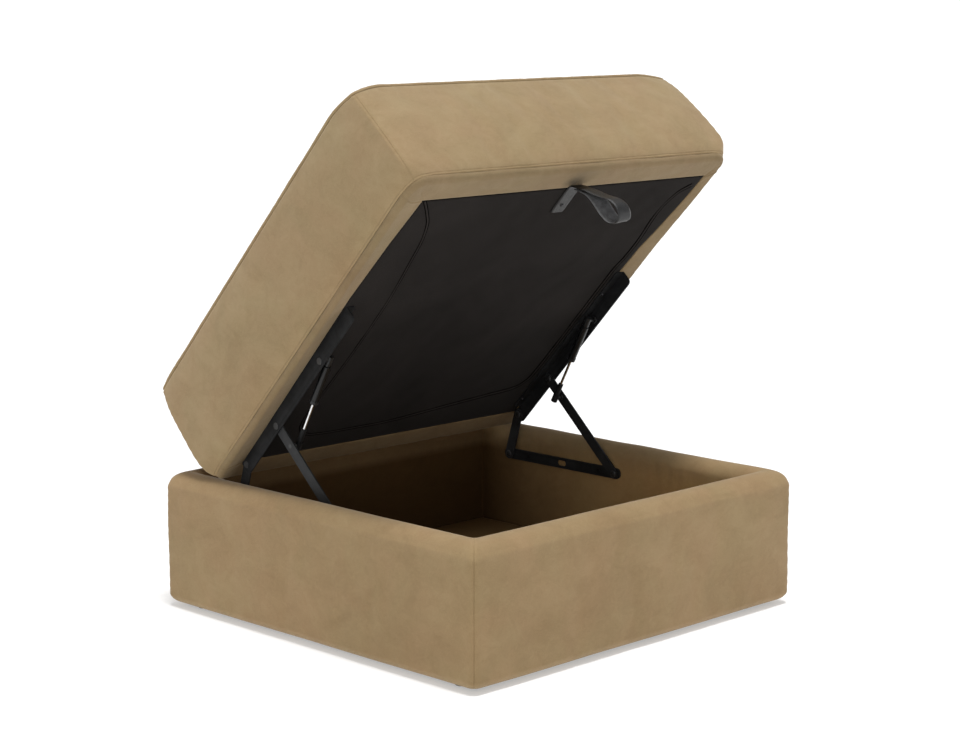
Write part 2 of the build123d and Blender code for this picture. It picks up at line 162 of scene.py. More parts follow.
def suede(name, dark, mid, light, fold_shadow=None, inner_shade=False, deep=False, under=False):
    """Brushed suede: slow mottling, brushed clouds, fine nap. Options add painted light and shade: on the inner faces
    and rear rim of the box, lighter at the front and darker towards the hinge side; that painted gradient all over; or
    painted shade towards the hinge side on the border under the lid. A given point gets a soft painted shadow round it."""
    m, nt, p = new_mat(name)
    v = coords(nt)
    slow = noise(nt, v, 3.2, 2.0, 0.5, 0.4)
    clouds = noise(nt, coords(nt, (0.85, 0.85, 1.15)), 15.0, 4.0, 0.6, 0.8)
    brushed = noise(nt, coords(nt, (0.9, 1.1, 1.3), (0.5, 0.3, 0.2)), 46.0, 4.0, 0.65, 1.2)
    nap = noise(nt, v, 900.0, 2.0, 0.7)
    f = math_n(nt, "MULTIPLY_ADD", slow, 0.30, math_n(nt, "MULTIPLY_ADD", clouds, 0.45, math_n(nt, "MULTIPLY", brushed, 0.30)))
    f = math_n(nt, "MULTIPLY_ADD", math_n(nt, "SUBTRACT", f, 0.525), 1.8, 0.5, clamp=True)
    col = ramp(nt, f, [(0.0, dark), (0.5, mid), (1.0, light)])
    hue = noise(nt, coords(nt, (1.0, 1.0, 1.0), (0.7, 0.1, 0.4)), 9.0, 3.0, 0.55, 0.6)
    col = mix_col(nt, 1.0, col, ramp(nt, hue, [(0.34, (1.02, 0.992, 0.992)), (0.66, (0.985, 1.008, 0.992))]), "MULTIPLY")
    grain = ramp(nt, nap, [(0.30, (0.91, 0.91, 0.91)), (0.70, (1.08, 1.08, 1.08))])
    col = mix_col(nt, 1.0, col, grain, "MULTIPLY")
    # painted shadow: a soft dark patch round one point
    if fold_shadow:
        at, size, depth = fold_shadow
        tc = node(nt, "ShaderNodeTexCoord")
        d = node(nt, "ShaderNodeVectorMath", operation="SUBTRACT")
        nt.links.new(tc.outputs["Object"], d.inputs[0])
        d.inputs[1].default_value = at
        s = node(nt, "ShaderNodeVectorMath", operation="DIVIDE")
        nt.links.new(d.outputs[0], s.inputs[0])
        s.inputs[1].default_value = size
        ln = node(nt, "ShaderNodeVectorMath", operation="LENGTH")
        nt.links.new(s.outputs[0], ln.inputs[0])
        k = math_n(nt, "SUBTRACT", 1.0, ln.outputs["Value"], clamp=True)
        k = math_n(nt, "MULTIPLY", math_n(nt, "POWER", k, 1.3), depth)
        col = mix_col(nt, k, col, (0.018, 0.014, 0.009, 1.0))
    mask = None
    # painted light and shade from object-space masks: lighter at the front, darker towards the hinge side
    if inner_shade or deep or under:
        tc = node(nt, "ShaderNodeTexCoord")
        xyz = node(nt, "ShaderNodeSeparateXYZ")
        nt.links.new(tc.outputs["Object"], xyz.inputs[0])
        ax = math_n(nt, "SUBTRACT", math_n(nt, "ABSOLUTE", xyz.outputs[0]), (BASE_HX - WALL) / 1000.0)
        ay = math_n(nt, "SUBTRACT", math_n(nt, "ABSOLUTE", math_n(nt, "SUBTRACT", xyz.outputs[1], YS / 1000.0)), (BASE_HY - WALL) / 1000.0)
        back = math_n(nt, "POWER", math_n(nt, "DIVIDE", math_n(nt, "ADD", xyz.outputs[1], 0.05), 0.39, clamp=True), 1.3)
        shade = mix_col(nt, 1.0, col, mix_col(nt, back, INSIDE_PAINTED_LIGHT, FLOOR_PAINTED_SHADE if deep else INSIDE_PAINTED_SHADE), "MULTIPLY")
        in_x = math_n(nt, "SUBTRACT", 1.0, math_n(nt, "DIVIDE", ax, 0.020), clamp=True)
        # painted shade on the box's inner faces below the rim and on its rear rim
        if inner_shade:
            k = math_n(nt, "SUBTRACT", 1.0, math_n(nt, "DIVIDE", math_n(nt, "MAXIMUM", ax, ay), 0.020), clamp=True)
            h = math_n(nt, "DIVIDE", math_n(nt, "SUBTRACT", 0.258, xyz.outputs[2]), 0.052, clamp=True)
            k = math_n(nt, "MULTIPLY", k, math_n(nt, "SMOOTH_MIN", h, 1.0, 0.2))
            rear = math_n(nt, "DIVIDE", math_n(nt, "SUBTRACT", xyz.outputs[1], 0.26), 0.06, clamp=True)
            in_y = math_n(nt, "SUBTRACT", 1.0, math_n(nt, "DIVIDE", math_n(nt, "SUBTRACT", ay, 0.030), 0.022), clamp=True)
            rear = math_n(nt, "MULTIPLY", math_n(nt, "MULTIPLY", rear, 0.68), math_n(nt, "MULTIPLY", in_x, in_y))
            mask = math_n(nt, "MAXIMUM", k, rear, clamp=True)
        # painted shade on the border under the lid, towards the hinge side
        elif under:
            mask = math_n(nt, "MULTIPLY", in_x, math_n(nt, "DIVIDE", math_n(nt, "SUBTRACT", xyz.outputs[1], 0.205), 0.03, clamp=True))
            mask = math_n(nt, "MULTIPLY", mask, 0.62)
        col = shade if deep else mix_col(nt, mask, col, shade)
    nt.links.new(col, p.inputs["Base Color"])
    p.inputs["Roughness"].default_value = 0.92
    p.inputs["Specular IOR Level"].default_value = 0.18
    p.inputs["Sheen Weight"].default_value = 0.01 if deep else 0.28
    if mask is not None:
        nt.links.new(math_n(nt, "MULTIPLY_ADD", mask, -0.27, 0.28), p.inputs["Sheen Weight"])
    p.inputs["Sheen Roughness"].default_value = 0.42
    p.inputs["Sheen Tint"].default_value = (1.0, 0.93, 0.80, 1.0)
    b = bump(nt, brushed, 0.10, 0.0015)
    b = bump(nt, nap, 0.35, 0.00045, b)
    nt.links.new(b, p.inputs["Normal"])
    return m


def tone(col, k):
    return tuple(k * c for c in col)


TAN = (0.304, 0.217, 0.116)
TAN_D, TAN_L = (0.236, 0.163, 0.082), (0.365, 0.270, 0.152)
FLOOR_PAINTED_SHADE = (0.40, 0.29, 0.155, 1.0)
INSIDE_PAINTED_LIGHT, INSIDE_PAINTED_SHADE = (1.25, 1.15, 0.98, 1.0), (0.19, 0.135, 0.07, 1.0)  # painted light and shade inside the box, against the outer fabric: painted light at the front, painted shade at the hinge side
M_TAN = suede("tan_suede", TAN_D, TAN, TAN_L)
# painted highlight: a lighter copy of the tan suede for the felled band
M_RIDGE_LIT = suede("tan_suede_ridge_painted_highlight", tone(TAN_D, 1.06), tone(TAN, 1.06), tone(TAN_L, 1.05))
# painted shadow of the strap's fold on the border
STRAP_FOLD_SHADOW = to_world((6.0, -770.0, -10.0)) / 1000.0
# painted shade: the border under the lid is a darker copy of the tan suede
M_BORDER_SHADED = suede("tan_suede_border_painted_shade", tone(TAN_D, 0.75), tone(TAN, 0.75), tone(TAN_L, 0.75), (tuple(STRAP_FOLD_SHADOW), (0.030, 0.022, 0.022), 0.75), under=True)
WARM = (0.975, 0.94, 0.905)  # the base is a touch browner than the lid
# the box cover carries painted light and shade on its inner faces
M_BASE = suede("tan_suede_box", *[tuple(a * b for a, b in zip(c, WARM)) for c in (TAN_D, TAN, TAN_L)], inner_shade=True)
# the floor cover: painted light and shade all over, darker towards the hinge side
M_INSIDE_SHADED = suede("tan_suede_painted_shade", TAN_D, TAN, TAN_L, deep=True)


def thread_mat():
    m, nt, p = new_mat("tan_thread")
    n = noise(nt, coords(nt), 1500.0, 2.0)
    nt.links.new(ramp(nt, n, [(0.3, (0.19, 0.135, 0.075)), (0.7, (0.33, 0.25, 0.155))]), p.inputs["Base Color"])
    p.inputs["Roughness"].default_value = 0.7
    nt.links.new(bump(nt, n, 0.4, 0.0003), p.inputs["Normal"])
    return m


M_THREAD = thread_mat()


def dust_mat(name, lift=1.0):
    """Black-brown non-woven lining with pressed dots and loose fibres; lift scales its colour for painted shade and
    painted highlight copies.
    """
    m, nt, p = new_mat(name)
    v = coords(nt)
    slow = noise(nt, v, 5.0, 3.0, 0.6, 0.6)
    fibre = noise(nt, coords(nt, (1.0, 2.6, 2.6), (0.4, 0.2, 0.7)), 420.0, 3.0, 0.7, 1.0)
    f = math_n(nt, "MULTIPLY_ADD", slow, 0.55, math_n(nt, "MULTIPLY", fibre, 0.45))
    a = tuple(lift * x for x in (0.0085, 0.0070, 0.0061))
    b = tuple(lift * x for x in (0.0205, 0.0173, 0.0158))
    nt.links.new(ramp(nt, f, [(0.32, a), (0.68, b)]), p.inputs["Base Color"])
    p.inputs["Roughness"].default_value = 0.93
    p.inputs["Specular IOR Level"].default_value = 0.09 * min(1.0, lift)
    p.inputs["Sheen Weight"].default_value = 0.02 * min(1.0, lift)
    p.inputs["Sheen Roughness"].default_value = 0.5
    vo = node(nt, "ShaderNodeTexVoronoi", feature="F1")
    nt.links.new(v, vo.inputs["Vector"])
    vo.inputs["Scale"].default_value = 640.0
    vo.inputs["Randomness"].default_value = 0.25
    b1 = bump(nt, vo.outputs["Distance"], 0.35, 0.0005)
    b1 = bump(nt, fibre, 0.30, 0.0005, b1)
    nt.links.new(b1, p.inputs["Normal"])
    return m


M_DUST = dust_mat("dust_cover_black")
# painted shadow: a near-black copy of the dust cover
M_DUST_SHADOW_LINE = dust_mat("dust_cover_painted_shadow_line", 0.05)
# painted highlight: a lighter copy of the dust cover for the bead
M_DUST_BEAD_LIT = dust_mat("dust_cover_bead", 1.35)


def powder_mat(name, base, edge, rough, gloss=0.25):
    """Black powder coat: fine orange peel, paler rubbed edges and dust."""
    m, nt, p = new_mat(name)
    v = coords(nt)
    peel = noise(nt, v, 1100.0, 2.0, 0.6)
    wear = noise(nt, v, 34.0, 5.0, 0.65, 0.8)
    geo = node(nt, "ShaderNodeNewGeometry")
    pt = math_n(nt, "MULTIPLY", math_n(nt, "SUBTRACT", geo.outputs["Pointiness"], 0.515, clamp=True), 9.0, clamp=True)
    k = math_n(nt, "MULTIPLY", pt, wear)
    k = math_n(nt, "MULTIPLY_ADD", math_n(nt, "SUBTRACT", wear, 0.55, clamp=True), 0.35, k, clamp=True)
    nt.links.new(mix_col(nt, k, (*base, 1.0), (*edge, 1.0)), p.inputs["Base Color"])
    nt.links.new(math_n(nt, "MULTIPLY_ADD", wear, 0.22, rough - 0.11), p.inputs["Roughness"])
    p.inputs["Specular IOR Level"].default_value = gloss
    nt.links.new(bump(nt, peel, 0.22, 0.0003), p.inputs["Normal"])
    return m


M_HINGE = powder_mat("black_powder_coat", (0.0048, 0.0050, 0.0054), (0.045, 0.046, 0.048), 0.46, 0.20)
M_RAIL = powder_mat("black_rail_coat", (0.0026, 0.0027, 0.0029), (0.036, 0.037, 0.039), 0.50, 0.13)
M_CYL = powder_mat("black_strut_paint", (0.0060, 0.0061, 0.0063), (0.030, 0.031, 0.032), 0.32, 0.35)
M_PLASTIC = powder_mat("black_moulded_plastic", (0.0062, 0.0062, 0.0065), (0.024, 0.024, 0.025), 0.55, 0.20)
M_RIVET = powder_mat("black_rivet", (0.0125, 0.0128, 0.0132), (0.105, 0.107, 0.110), 0.34, 0.42)


def metal_mat(name, col, rough, scratch):
    m, nt, p = new_mat(name)
    v = coords(nt, (1, 1, 1))
    fine = noise(nt, coords(nt, (6.0, 1.0, 1.0)), 700.0, 3.0, 0.7)
    slow = noise(nt, v, 60.0, 3.0, 0.6)
    dark = tuple(0.62 * x for x in col)
    nt.links.new(ramp(nt, slow, [(0.30, dark), (0.62, col)]), p.inputs["Base Color"])
    p.inputs["Metallic"].default_value = 1.0
    nt.links.new(math_n(nt, "MULTIPLY_ADD", fine, scratch, rough), p.inputs["Roughness"])
    nt.links.new(bump(nt, fine, 0.10, 0.0002), p.inputs["Normal"])
    return m


M_CHROME = metal_mat("chrome_rod", (0.86, 0.86, 0.87), 0.07, 0.10)
M_ZINC = metal_mat("dark_zinc", (0.20, 0.20, 0.205), 0.30, 0.16)
M_BLACK_ZINC = metal_mat("black_zinc", (0.045, 0.045, 0.047), 0.36, 0.16)


def leather_mat(name="black_leather", low=(0.0045, 0.0045, 0.0049), high=(0.0125, 0.0125, 0.0132), rough=0.34, gloss=0.5):
    m, nt, p = new_mat(name)
    v = coords(nt)
    vo = node(nt, "ShaderNodeTexVoronoi", feature="DISTANCE_TO_EDGE")
    nt.links.new(v, vo.inputs["Vector"])
    vo.inputs["Scale"].default_value = 620.0
    cells = math_n(nt, "MULTIPLY", vo.outputs["Distance"], 3.0, clamp=True)
    slow = noise(nt, v, 70.0, 4.0, 0.6, 0.5)
    f = math_n(nt, "MULTIPLY_ADD", slow, 0.7, math_n(nt, "MULTIPLY", cells, 0.3))
    nt.links.new(ramp(nt, f, [(0.30, low), (0.70, high)]), p.inputs["Base Color"])
    nt.links.new(math_n(nt, "MULTIPLY_ADD", slow, 0.20, rough), p.inputs["Roughness"])
    p.inputs["Specular IOR Level"].default_value = gloss
    b = bump(nt, cells, 0.45, 0.0004)
    b = bump(nt, slow, 0.25, 0.0012, b)
    nt.links.new(b, p.inputs["Normal"])
    return m


M_LEATHER = leather_mat()
# painted highlight: a much lighter copy of the black leather
M_LEATHER_LIT = leather_mat("black_leather_painted_highlight", (0.085, 0.085, 0.087), (0.22, 0.22, 0.225), 0.6, 0.3)


def wood_mat():
    m, nt, p = new_mat("pale_plywood")
    v = coords(nt, (1.0, 9.0, 9.0))
    g = noise(nt, v, 14.0, 5.0, 0.6, 1.4)
    nt.links.new(ramp(nt, g, [(0.30, (0.30, 0.19, 0.10)), (0.70, (0.55, 0.39, 0.23))]), p.inputs["Base Color"])
    p.inputs["Roughness"].default_value = 0.75
    nt.links.new(bump(nt, g, 0.2, 0.0006), p.inputs["Normal"])
    return m


def foam_mat():
    m, nt, p = new_mat("upholstery_foam")
    g = noise(nt, coords(nt), 500.0, 4.0, 0.7)
    nt.links.new(ramp(nt, g, [(0.30, (0.55, 0.52, 0.40)), (0.70, (0.78, 0.74, 0.60))]), p.inputs["Base Color"])
    p.inputs["Roughness"].default_value = 0.95
    nt.links.new(bump(nt, g, 0.5, 0.0010), p.inputs["Normal"])
    return m


M_WOOD, M_FOAM = wood_mat(), foam_mat()


# ------------------------------------------------------------------ mesh helpers
def make(name, v_mm, faces, mat, body=None, smooth=True, normals=True):
    me = bpy.data.meshes.new(name)
    me.from_pydata([tuple(map(float, p)) for p in np.asarray(v_mm, float) / 1000.0], [], [tuple(map(int, f)) for f in faces])
    me.validate()
    if normals:
        bm = bmesh.new()
        bm.from_mesh(me)
        bmesh.ops.recalc_face_normals(bm, faces=bm.faces)
        bm.to_mesh(me)
        bm.free()
    me.materials.append(mat)
    for poly in me.polygons:
        poly.use_smooth = smooth
    ob = bpy.data.objects.new(name, me)
    scene.collection.objects.link(ob)
    if body:
        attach(ob, body)
    return ob


def waves(p, wl, seed, n=7):
    """Smooth seeded unevenness, about -1 to 1, of the given wavelength in mm."""
    r = np.random.RandomState(seed)
    p = np.asarray(p, float)
    out = np.zeros(p.shape[:-1])
    for _ in range(n):
        d = r.normal(size=p.shape[-1])
        d /= np.linalg.norm(d)
        out += np.sin((p @ d) * 2 * math.pi / (wl * r.uniform(0.7, 1.5)) + r.uniform(0, 6.28))
    return out / math.sqrt(n) / 1.2


NEAR = (0.0, 0.9, 2.0, 3.4, 5.2, 7.6, 10.8, 15.0, 20.4, 27.0)


def columns(step, hx, hy, r, near=NEAR):
    """Column layout round a rounded rectangle, finer towards the corners. Each column is (kind, index, t): on straight
    side `index` at share t, or in corner `index` at angle share t. Sides and corners run anticlockwise from the right
    side. Also each column's distance along the outline from the nearest corner's middle."""
    cols, seam = [], []
    quarter = r * math.pi / 2
    half = [0.0, 0.7, 1.4, 2.2, 3.2, 4.4, 5.9, 7.7, 9.9, 12.5, 15.6, 19.3]
    turn = sorted({0.0} | {0.5 + k * v / quarter for v in half for k in (1, -1) if v < 0.46 * quarter})
    for k in range(4):
        length = 2 * ((hy if k % 2 == 0 else hx) - r)
        n = max(4, int(round((length - 2 * near[-1]) / step)))
        at = list(near[:-1]) + list(np.linspace(near[-1], length - near[-1], n + 1)) + [length - v for v in near[1:-1]][::-1]
        for v in at:
            cols.append(("s", k, v / length))
            seam.append(min(v, length - v) + quarter / 2)
        for t in turn:
            cols.append(("c", k, t))
            seam.append((t - 0.5) * quarter)
    return cols, np.array(seam)


def plan(cols, hx, hy, radii):
    """Plan points of the columns for half sizes hx, hy and four corner radii (front-right last)."""
    out = np.zeros((len(cols), 2))
    # corner 0 is (+x, +y), 1 (-x, +y), 2 (-x, -y), 3 (+x, -y)
    sx, sy = (1, -1, -1, 1), (1, 1, -1, -1)
    cen = [(sx[k] * (hx - radii[k]), sy[k] * (hy - radii[k])) for k in range(4)]
    for i, (kind, k, t) in enumerate(cols):
        if kind == "c":
            a = math.radians(90 * k + 90 * t)
            out[i] = (cen[k][0] + radii[k] * math.cos(a), cen[k][1] + radii[k] * math.sin(a))
        else:
            # side k runs from the end of corner k-1 to the start of corner k
            a = math.radians(90 * k)
            p0 = (cen[k - 1][0] + radii[k - 1] * math.cos(a), cen[k - 1][1] + radii[k - 1] * math.sin(a))
            p1 = (cen[k][0] + radii[k] * math.cos(a), cen[k][1] + radii[k] * math.sin(a))
            out[i] = (p0[0] + (p1[0] - p0[0]) * t, p0[1] + (p1[1] - p0[1]) * t)
    return out


def ring_faces(rows, cols, closed=True):
    f = []
    for j in range(rows if closed else rows - 1):
        a, b = j * cols, ((j + 1) % rows) * cols
        for i in range(cols):
            k = (i + 1) % cols
            f.append((a + i, a + k, b + k, b + i))
    return f


def arc(cx, cy, r, a0, a1, n):
    return [(cx + r * math.cos(math.radians(a0 + (a1 - a0) * i / n)), cy + r * math.sin(math.radians(a0 + (a1 - a0) * i / n))) for i in range(n + 1)]


def grid_faces(nu, nv, base=0, flip=False):
    f = []
    for i in range(nu - 1):
        for j in range(nv - 1):
            a, b, c, d = (base + i * nv + j, base + (i + 1) * nv + j, base + (i + 1) * nv + j + 1, base + i * nv + j + 1)
            f.append((a, d, c, b) if flip else (a, b, c, d))
    return f


# ------------------------------------------------------------------ cloth over padding
def settle(width, height, seed, step=13.0):
    """Swelling of a cloth panel that is sewn down along its edges and pressed up by its padding, from a short cloth
    simulation: the panel's grid lines in mm and its heights, the largest 1."""
    xs, ys = np.linspace(0, width, int(width / step) + 1), np.linspace(0, height, int(height / step) + 1)
    X, Y = np.meshgrid(xs, ys, indexing="ij")
    Z = np.random.RandomState(seed).uniform(0.0, 0.5, X.shape)
    me = bpy.data.meshes.new("settling")
    me.from_pydata((np.stack([X, Y, Z], -1).reshape(-1, 3) / 1000.0).tolist(), [], grid_faces(len(xs), len(ys)))
    ob = bpy.data.objects.new("settling", me)
    scene.collection.objects.link(ob)
    edge = (X < 0.1) | (X > width - 0.1) | (Y < 0.1) | (Y > height - 0.1)
    ob.vertex_groups.new(name="sewn").add([int(i) for i in np.where(edge.reshape(-1))[0]], 1.0, "REPLACE")
    cloth = ob.modifiers.new("cloth", "CLOTH")
    cs = cloth.settings
    cs.quality = 8
    cs.mass = 0.4
    cs.tension_stiffness = cs.compression_stiffness = 40.0
    cs.shear_stiffness = 20.0
    cs.bending_stiffness = 6.0
    cs.tension_damping = cs.compression_damping = 25.0
    cs.air_damping = 4.0
    cs.vertex_group_mass = "sewn"
    cs.use_pressure = True
    cs.uniform_pressure_force = 4.0
    cs.effector_weights.gravity = 0.0
    cs.shrink_min = -0.006
    cloth.point_cache.frame_start, cloth.point_cache.frame_end = 1, 20
    start = scene.frame_current
    for k in range(1, 21):
        scene.frame_set(k)
    ev = ob.evaluated_get(bpy.context.evaluated_depsgraph_get())
    co = np.zeros(3 * len(me.vertices))
    ev.data.vertices.foreach_get("co", co)
    bpy.data.objects.remove(ob)
    bpy.data.meshes.remove(me)
    scene.frame_set(start)
    h = np.abs(co.reshape(len(xs), len(ys), 3)[..., 2])
    return xs, ys, h / max(1e-6, float(np.percentile(h, 98)))


def height_at(panel, x, y):
    """The settled height at points x, y of a panel, smoothly between its grid lines."""
    xs, ys, h = panel
    x, y = np.clip(x, xs[0], xs[-1]), np.clip(y, ys[0], ys[-1])
    fx, fy = x / xs[-1] * (len(xs) - 1), y / ys[-1] * (len(ys) - 1)
    i, j = np.minimum(fx.astype(int), len(xs) - 2), np.minimum(fy.astype(int), len(ys) - 2)
    a, b = fx - i, fy - j
    a, b = a * a * (3 - 2 * a) * 0.5 + a * 0.5, b * b * (3 - 2 * b) * 0.5 + b * 0.5
    return (h[i, j] * (1 - a) + h[i + 1, j] * a) * (1 - b) + (h[i, j + 1] * (1 - a) + h[i + 1, j + 1] * a) * b


# ------------------------------------------------------------------ base cover
BASE_R = 15.0


def base_cover():
    prof = [(34.4, BASE_Z0 + 0.6), (42.0, BASE_Z0 + 0.2)]
    prof += arc(WALL - 18.0, BASE_Z0 + 18.0, 18.0, -90, 0, 10)[1:]
    z = np.linspace(BASE_Z0 + 18.0, RIM_Z - 30.0, 26)[1:]
    prof += [(WALL, v) for v in z]
    prof += arc(WALL - 30.0, RIM_Z - 30.0, 30.0, 0, 90, 14)[1:]
    prof += arc(30.0, RIM_Z - 30.0, 30.0, 90, 180, 14)[1:]
    z = np.linspace(RIM_Z - 30.0, 45.5, 20)[1:]
    prof += [(0.0, v) for v in z]
    prof += [(2.0, 44.6), (15.2, 44.6), (15.2, 120.0), (15.2, 234.6), (25.0, 234.6), (34.6, 234.6), (34.6, 120.0)]
    prof = np.array(prof)
    nr = len(prof)
    skin = np.ones(nr)
    skin[-7:] = 0.0
    skin[:2] = 0.3
    cols, seam = columns(7.0, BASE_HX, BASE_HY, BASE_R)
    nc = len(cols)
    V = np.zeros((nr, nc, 3))
    flat = plan(cols, BASE_HX, BASE_HY, [BASE_R] * 4)
    run = np.concatenate([[0], np.cumsum(np.linalg.norm(np.diff(flat, axis=0), axis=1))])
    share = np.array([4 * k[2] * (1 - k[2]) if k[0] == "s" else 0.0 for k in cols])
    walls = [settle(2 * (h - BASE_R), RIM_Z - BASE_Z0, 21 + k) for k, h in enumerate((BASE_HY, BASE_HX, BASE_HY, BASE_HX))]
    for j, (t, zz) in enumerate(prof):
        inner = BASE_HX - WALL + t, BASE_HY - WALL + t
        # a little fullness on the outer face; the inner face is pulled tight, with gathers under the rim
        u = np.clip((zz - BASE_Z0) / (RIM_Z - BASE_Z0), 0, 1)
        full = 4.2 * math.sin(math.pi * u) ** 0.9 if t > 59.0 else 0.0
        inside = t < 0.5 and zz < RIM_Z - 30.0
        if inside:
            full = -1.5 * math.sin(math.pi * np.clip((zz - 45.0) / 186.0, 0, 1))
        o = full * (0.45 + 0.55 * share ** 0.35) * skin[j]
        if t > 59.0:
            swell = np.array([float(height_at(walls[q[1]], np.array(q[2] * walls[q[1]][0][-1]), np.array(zz - BASE_Z0))) if q[0] == "s" else 0.0 for q in cols])
            o = (0.3 * full + 4.0 * swell) * skin[j]
        soft = waves(np.stack([run, np.full(nc, zz * 1.3 + t * 1.7)], -1), 240.0, 11) * 0.7 + waves(np.stack([run, np.full(nc, zz * 0.8 + t)], -1), 90.0, 12) * 0.28
        o = o + soft * skin[j] * (0.35 if t < 0.5 else 1.0)
        if t < 29.0 and zz > 120.0:
            top = math.exp(-((zz - 226.0) / 26.0) ** 2)
            o = o - skin[j] * top * (0.9 * waves(np.stack([run, np.full(nc, zz * 0.22)], -1), 46.0, 13) + 0.45 * waves(np.stack([run, np.full(nc, zz * 0.3)], -1), 21.0, 14))
        groove = -1.5 * np.exp(-((seam / 0.95) ** 2)) + 0.5 * np.exp(-(((np.abs(seam) - 4.0) / 2.6) ** 2))
        groove += 0.35 * np.exp(-((seam / 14.0) ** 2)) * np.sin(zz * 2 * math.pi / 21.0 + 2.2 * np.sin(zz / 33.0))
        rim = 1.0 if t > 59.0 else np.clip((t - 18.0) / 41.0, 0, 1)
        o = o + groove * skin[j] * rim
        r = 5.0 + (BASE_R - 5.0) * np.clip(t / 40.0, 0, 1)
        base = plan(cols, inner[0], inner[1], [r] * 4)
        nxt = plan(cols, inner[0] + 1.0, inner[1] + 1.0, [r + 1.0] * 4)
        nrm = nxt - base
        nrm /= np.linalg.norm(nrm, axis=1)[:, None]
        V[j, :, :2] = base + nrm * o[:, None]
        V[j, :, 2] = zz
        if 0.5 < t < 59.5 and zz > RIM_Z - 30.0:  # the rim: unevenness lifts it too
            lift = (soft * 0.8 + groove * rim * 0.8) * skin[j] * math.sin(math.pi * np.clip(t / WALL, 0, 1))
            V[j, :, 2] += lift
    V[:, :, 1] += YS
    ob = make("base_cover", V.reshape(-1, 3), ring_faces(nr, nc), M_BASE, "base")
    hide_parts("base_pad_front", "base_pad_back", "base_pad_left", "base_pad_right")
    return ob


base_ob = base_cover()


# ------------------------------------------------------------------ floor lining and base dust cover
def pad_sheet(name, hx, hy, z0, z1, edge, mat, seed, amp, step, yc):
    """A thin padded board: rounded edges, slightly uneven top."""
    nu, nv = int(2 * hx / step), int(2 * hy / step)

    def axis(h, n):
        e = edge * (1 - np.cos(np.linspace(0, math.pi / 2, 6)))
        inner = np.linspace(-h + edge, h - edge, n)
        return np.concatenate([-h + e[:-1], inner, h - e[:-1][::-1]])

    xs, ys = axis(hx, nu), axis(hy, nv)
    X, Y = np.meshgrid(xs, ys, indexing="ij")
    d = np.minimum(hx - np.abs(X), hy - np.abs(Y))
    q = np.clip(d / edge, 0, 1)
    drop = edge * (1 - np.sqrt(np.clip(1 - (1 - q) ** 2, 0, 1)))
    P = np.stack([X, Y], -1)
    Z = z1 - drop + amp * np.clip(d / 40.0, 0, 1) * (0.7 * waves(P, 260.0, seed) + 0.4 * waves(P, 90.0, seed + 1))
    top = np.stack([X, Y + yc, Z], -1).reshape(-1, 3)
    low = np.stack([X, Y + yc, np.full_like(X, z0)], -1).reshape(-1, 3)
    n1, n2 = X.shape
    f = grid_faces(n1, n2) + grid_faces(n1, n2, n1 * n2, True)
    rim = [i * n2 for i in range(n1)] + [(n1 - 1) * n2 + j for j in range(1, n2)] + [i * n2 + n2 - 1 for i in range(n1 - 2, -1, -1)] + [j for j in range(n2 - 2, 0, -1)]
    for a, b in zip(rim, rim[1:] + rim[:1]):
        f.append((a, b, b + n1 * n2, a + n1 * n2))
    return make(name, np.vstack([top, low]), f, mat)


floor_ob = pad_sheet("floor_cover", 369.7, 358.7, 44.2, 52.2, 5.0, M_INSIDE_SHADED, 31, 0.8, 9.0, YS)
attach(floor_ob, "base")
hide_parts("floor_lining")

under_ob = pad_sheet("base_underside", 404.6, 393.6, 5.4, 6.3, 0.4, M_DUST, 41, 0.15, 14.0, YS)
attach(under_ob, "base")
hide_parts("base_dust_cover")


# ------------------------------------------------------------------ lid cover
R_TOP = [7.0, 7.0, 13.0, 13.0]  # corner radii at the welt: back right, back left, front left, front right
R_MID = [8.0, 8.0, 9.0, 9.0]
R_LOW = [14.0, 14.0, 30.0, 30.0]  # at the lower seam
PANEL_H = 211.3


def radii(v):
    u, w = np.clip(v / PANEL_H, 0, 1), np.clip(v / 34.0, 0, 1)
    low = 1 - w * w * (3 - 2 * w)
    return [mid + (lo - mid) * low + (hi - mid) * max(0.0, 2 * u - 1) for lo, mid, hi in zip(R_LOW, R_MID, R_TOP)]


def corner_of(cols):
    """The nearest corner of each column."""
    return [k if kind == "c" or q >= 0.5 else (k - 1) % 4 for kind, k, q in cols]


def corner_gap(x, y):
    """How far a lid plan point is from the nearest corner, along the edges."""
    return np.clip(LID_HX - np.abs(x), 0, None) + np.clip(LID_HY - np.abs(y), 0, None)


def corner_drop(x, y):
    """The top edge is pulled down at the corners, more at the front (negative y)."""
    g = corner_gap(x, y)
    front = 1 / (1 + np.exp(np.clip(y / 30.0, -30, 30)))
    return front * 15.0 * np.clip(1 - g / 75.0, 0, 1) ** 1.7 + (1 - front) * 4.0 * np.clip(1 - g / 40.0, 0, 1) ** 1.7


def corner_dip(x, y):
    """The lower seam also runs a little lower at the corners."""
    return 4.0 * np.clip(1 - corner_gap(x, y) / 38.0, 0, 1) ** 1.6


def flare(x, y, v):
    """The lid's right front corner stands out a little, most at its lower edge; y is from the back."""
    w = np.clip((-545.0 - y) / 215.0, 0, 1)
    return 11.0 * w * w * (3 - 2 * w) * np.clip(x / LID_HX, 0, 1) ** 2 * (0.25 + 0.75 * np.clip(1 - v / 211.0, 0, 1) ** 2)


def fullness(v):
    """How far a side panel stands out, by height above the lower seam."""
    v = np.clip(v, 0, PANEL_H)
    return 11.3 * (1 - np.exp(-v / 13.0)) * (1 - (v / (PANEL_H + 0.2)) ** 3.2) ** 0.9


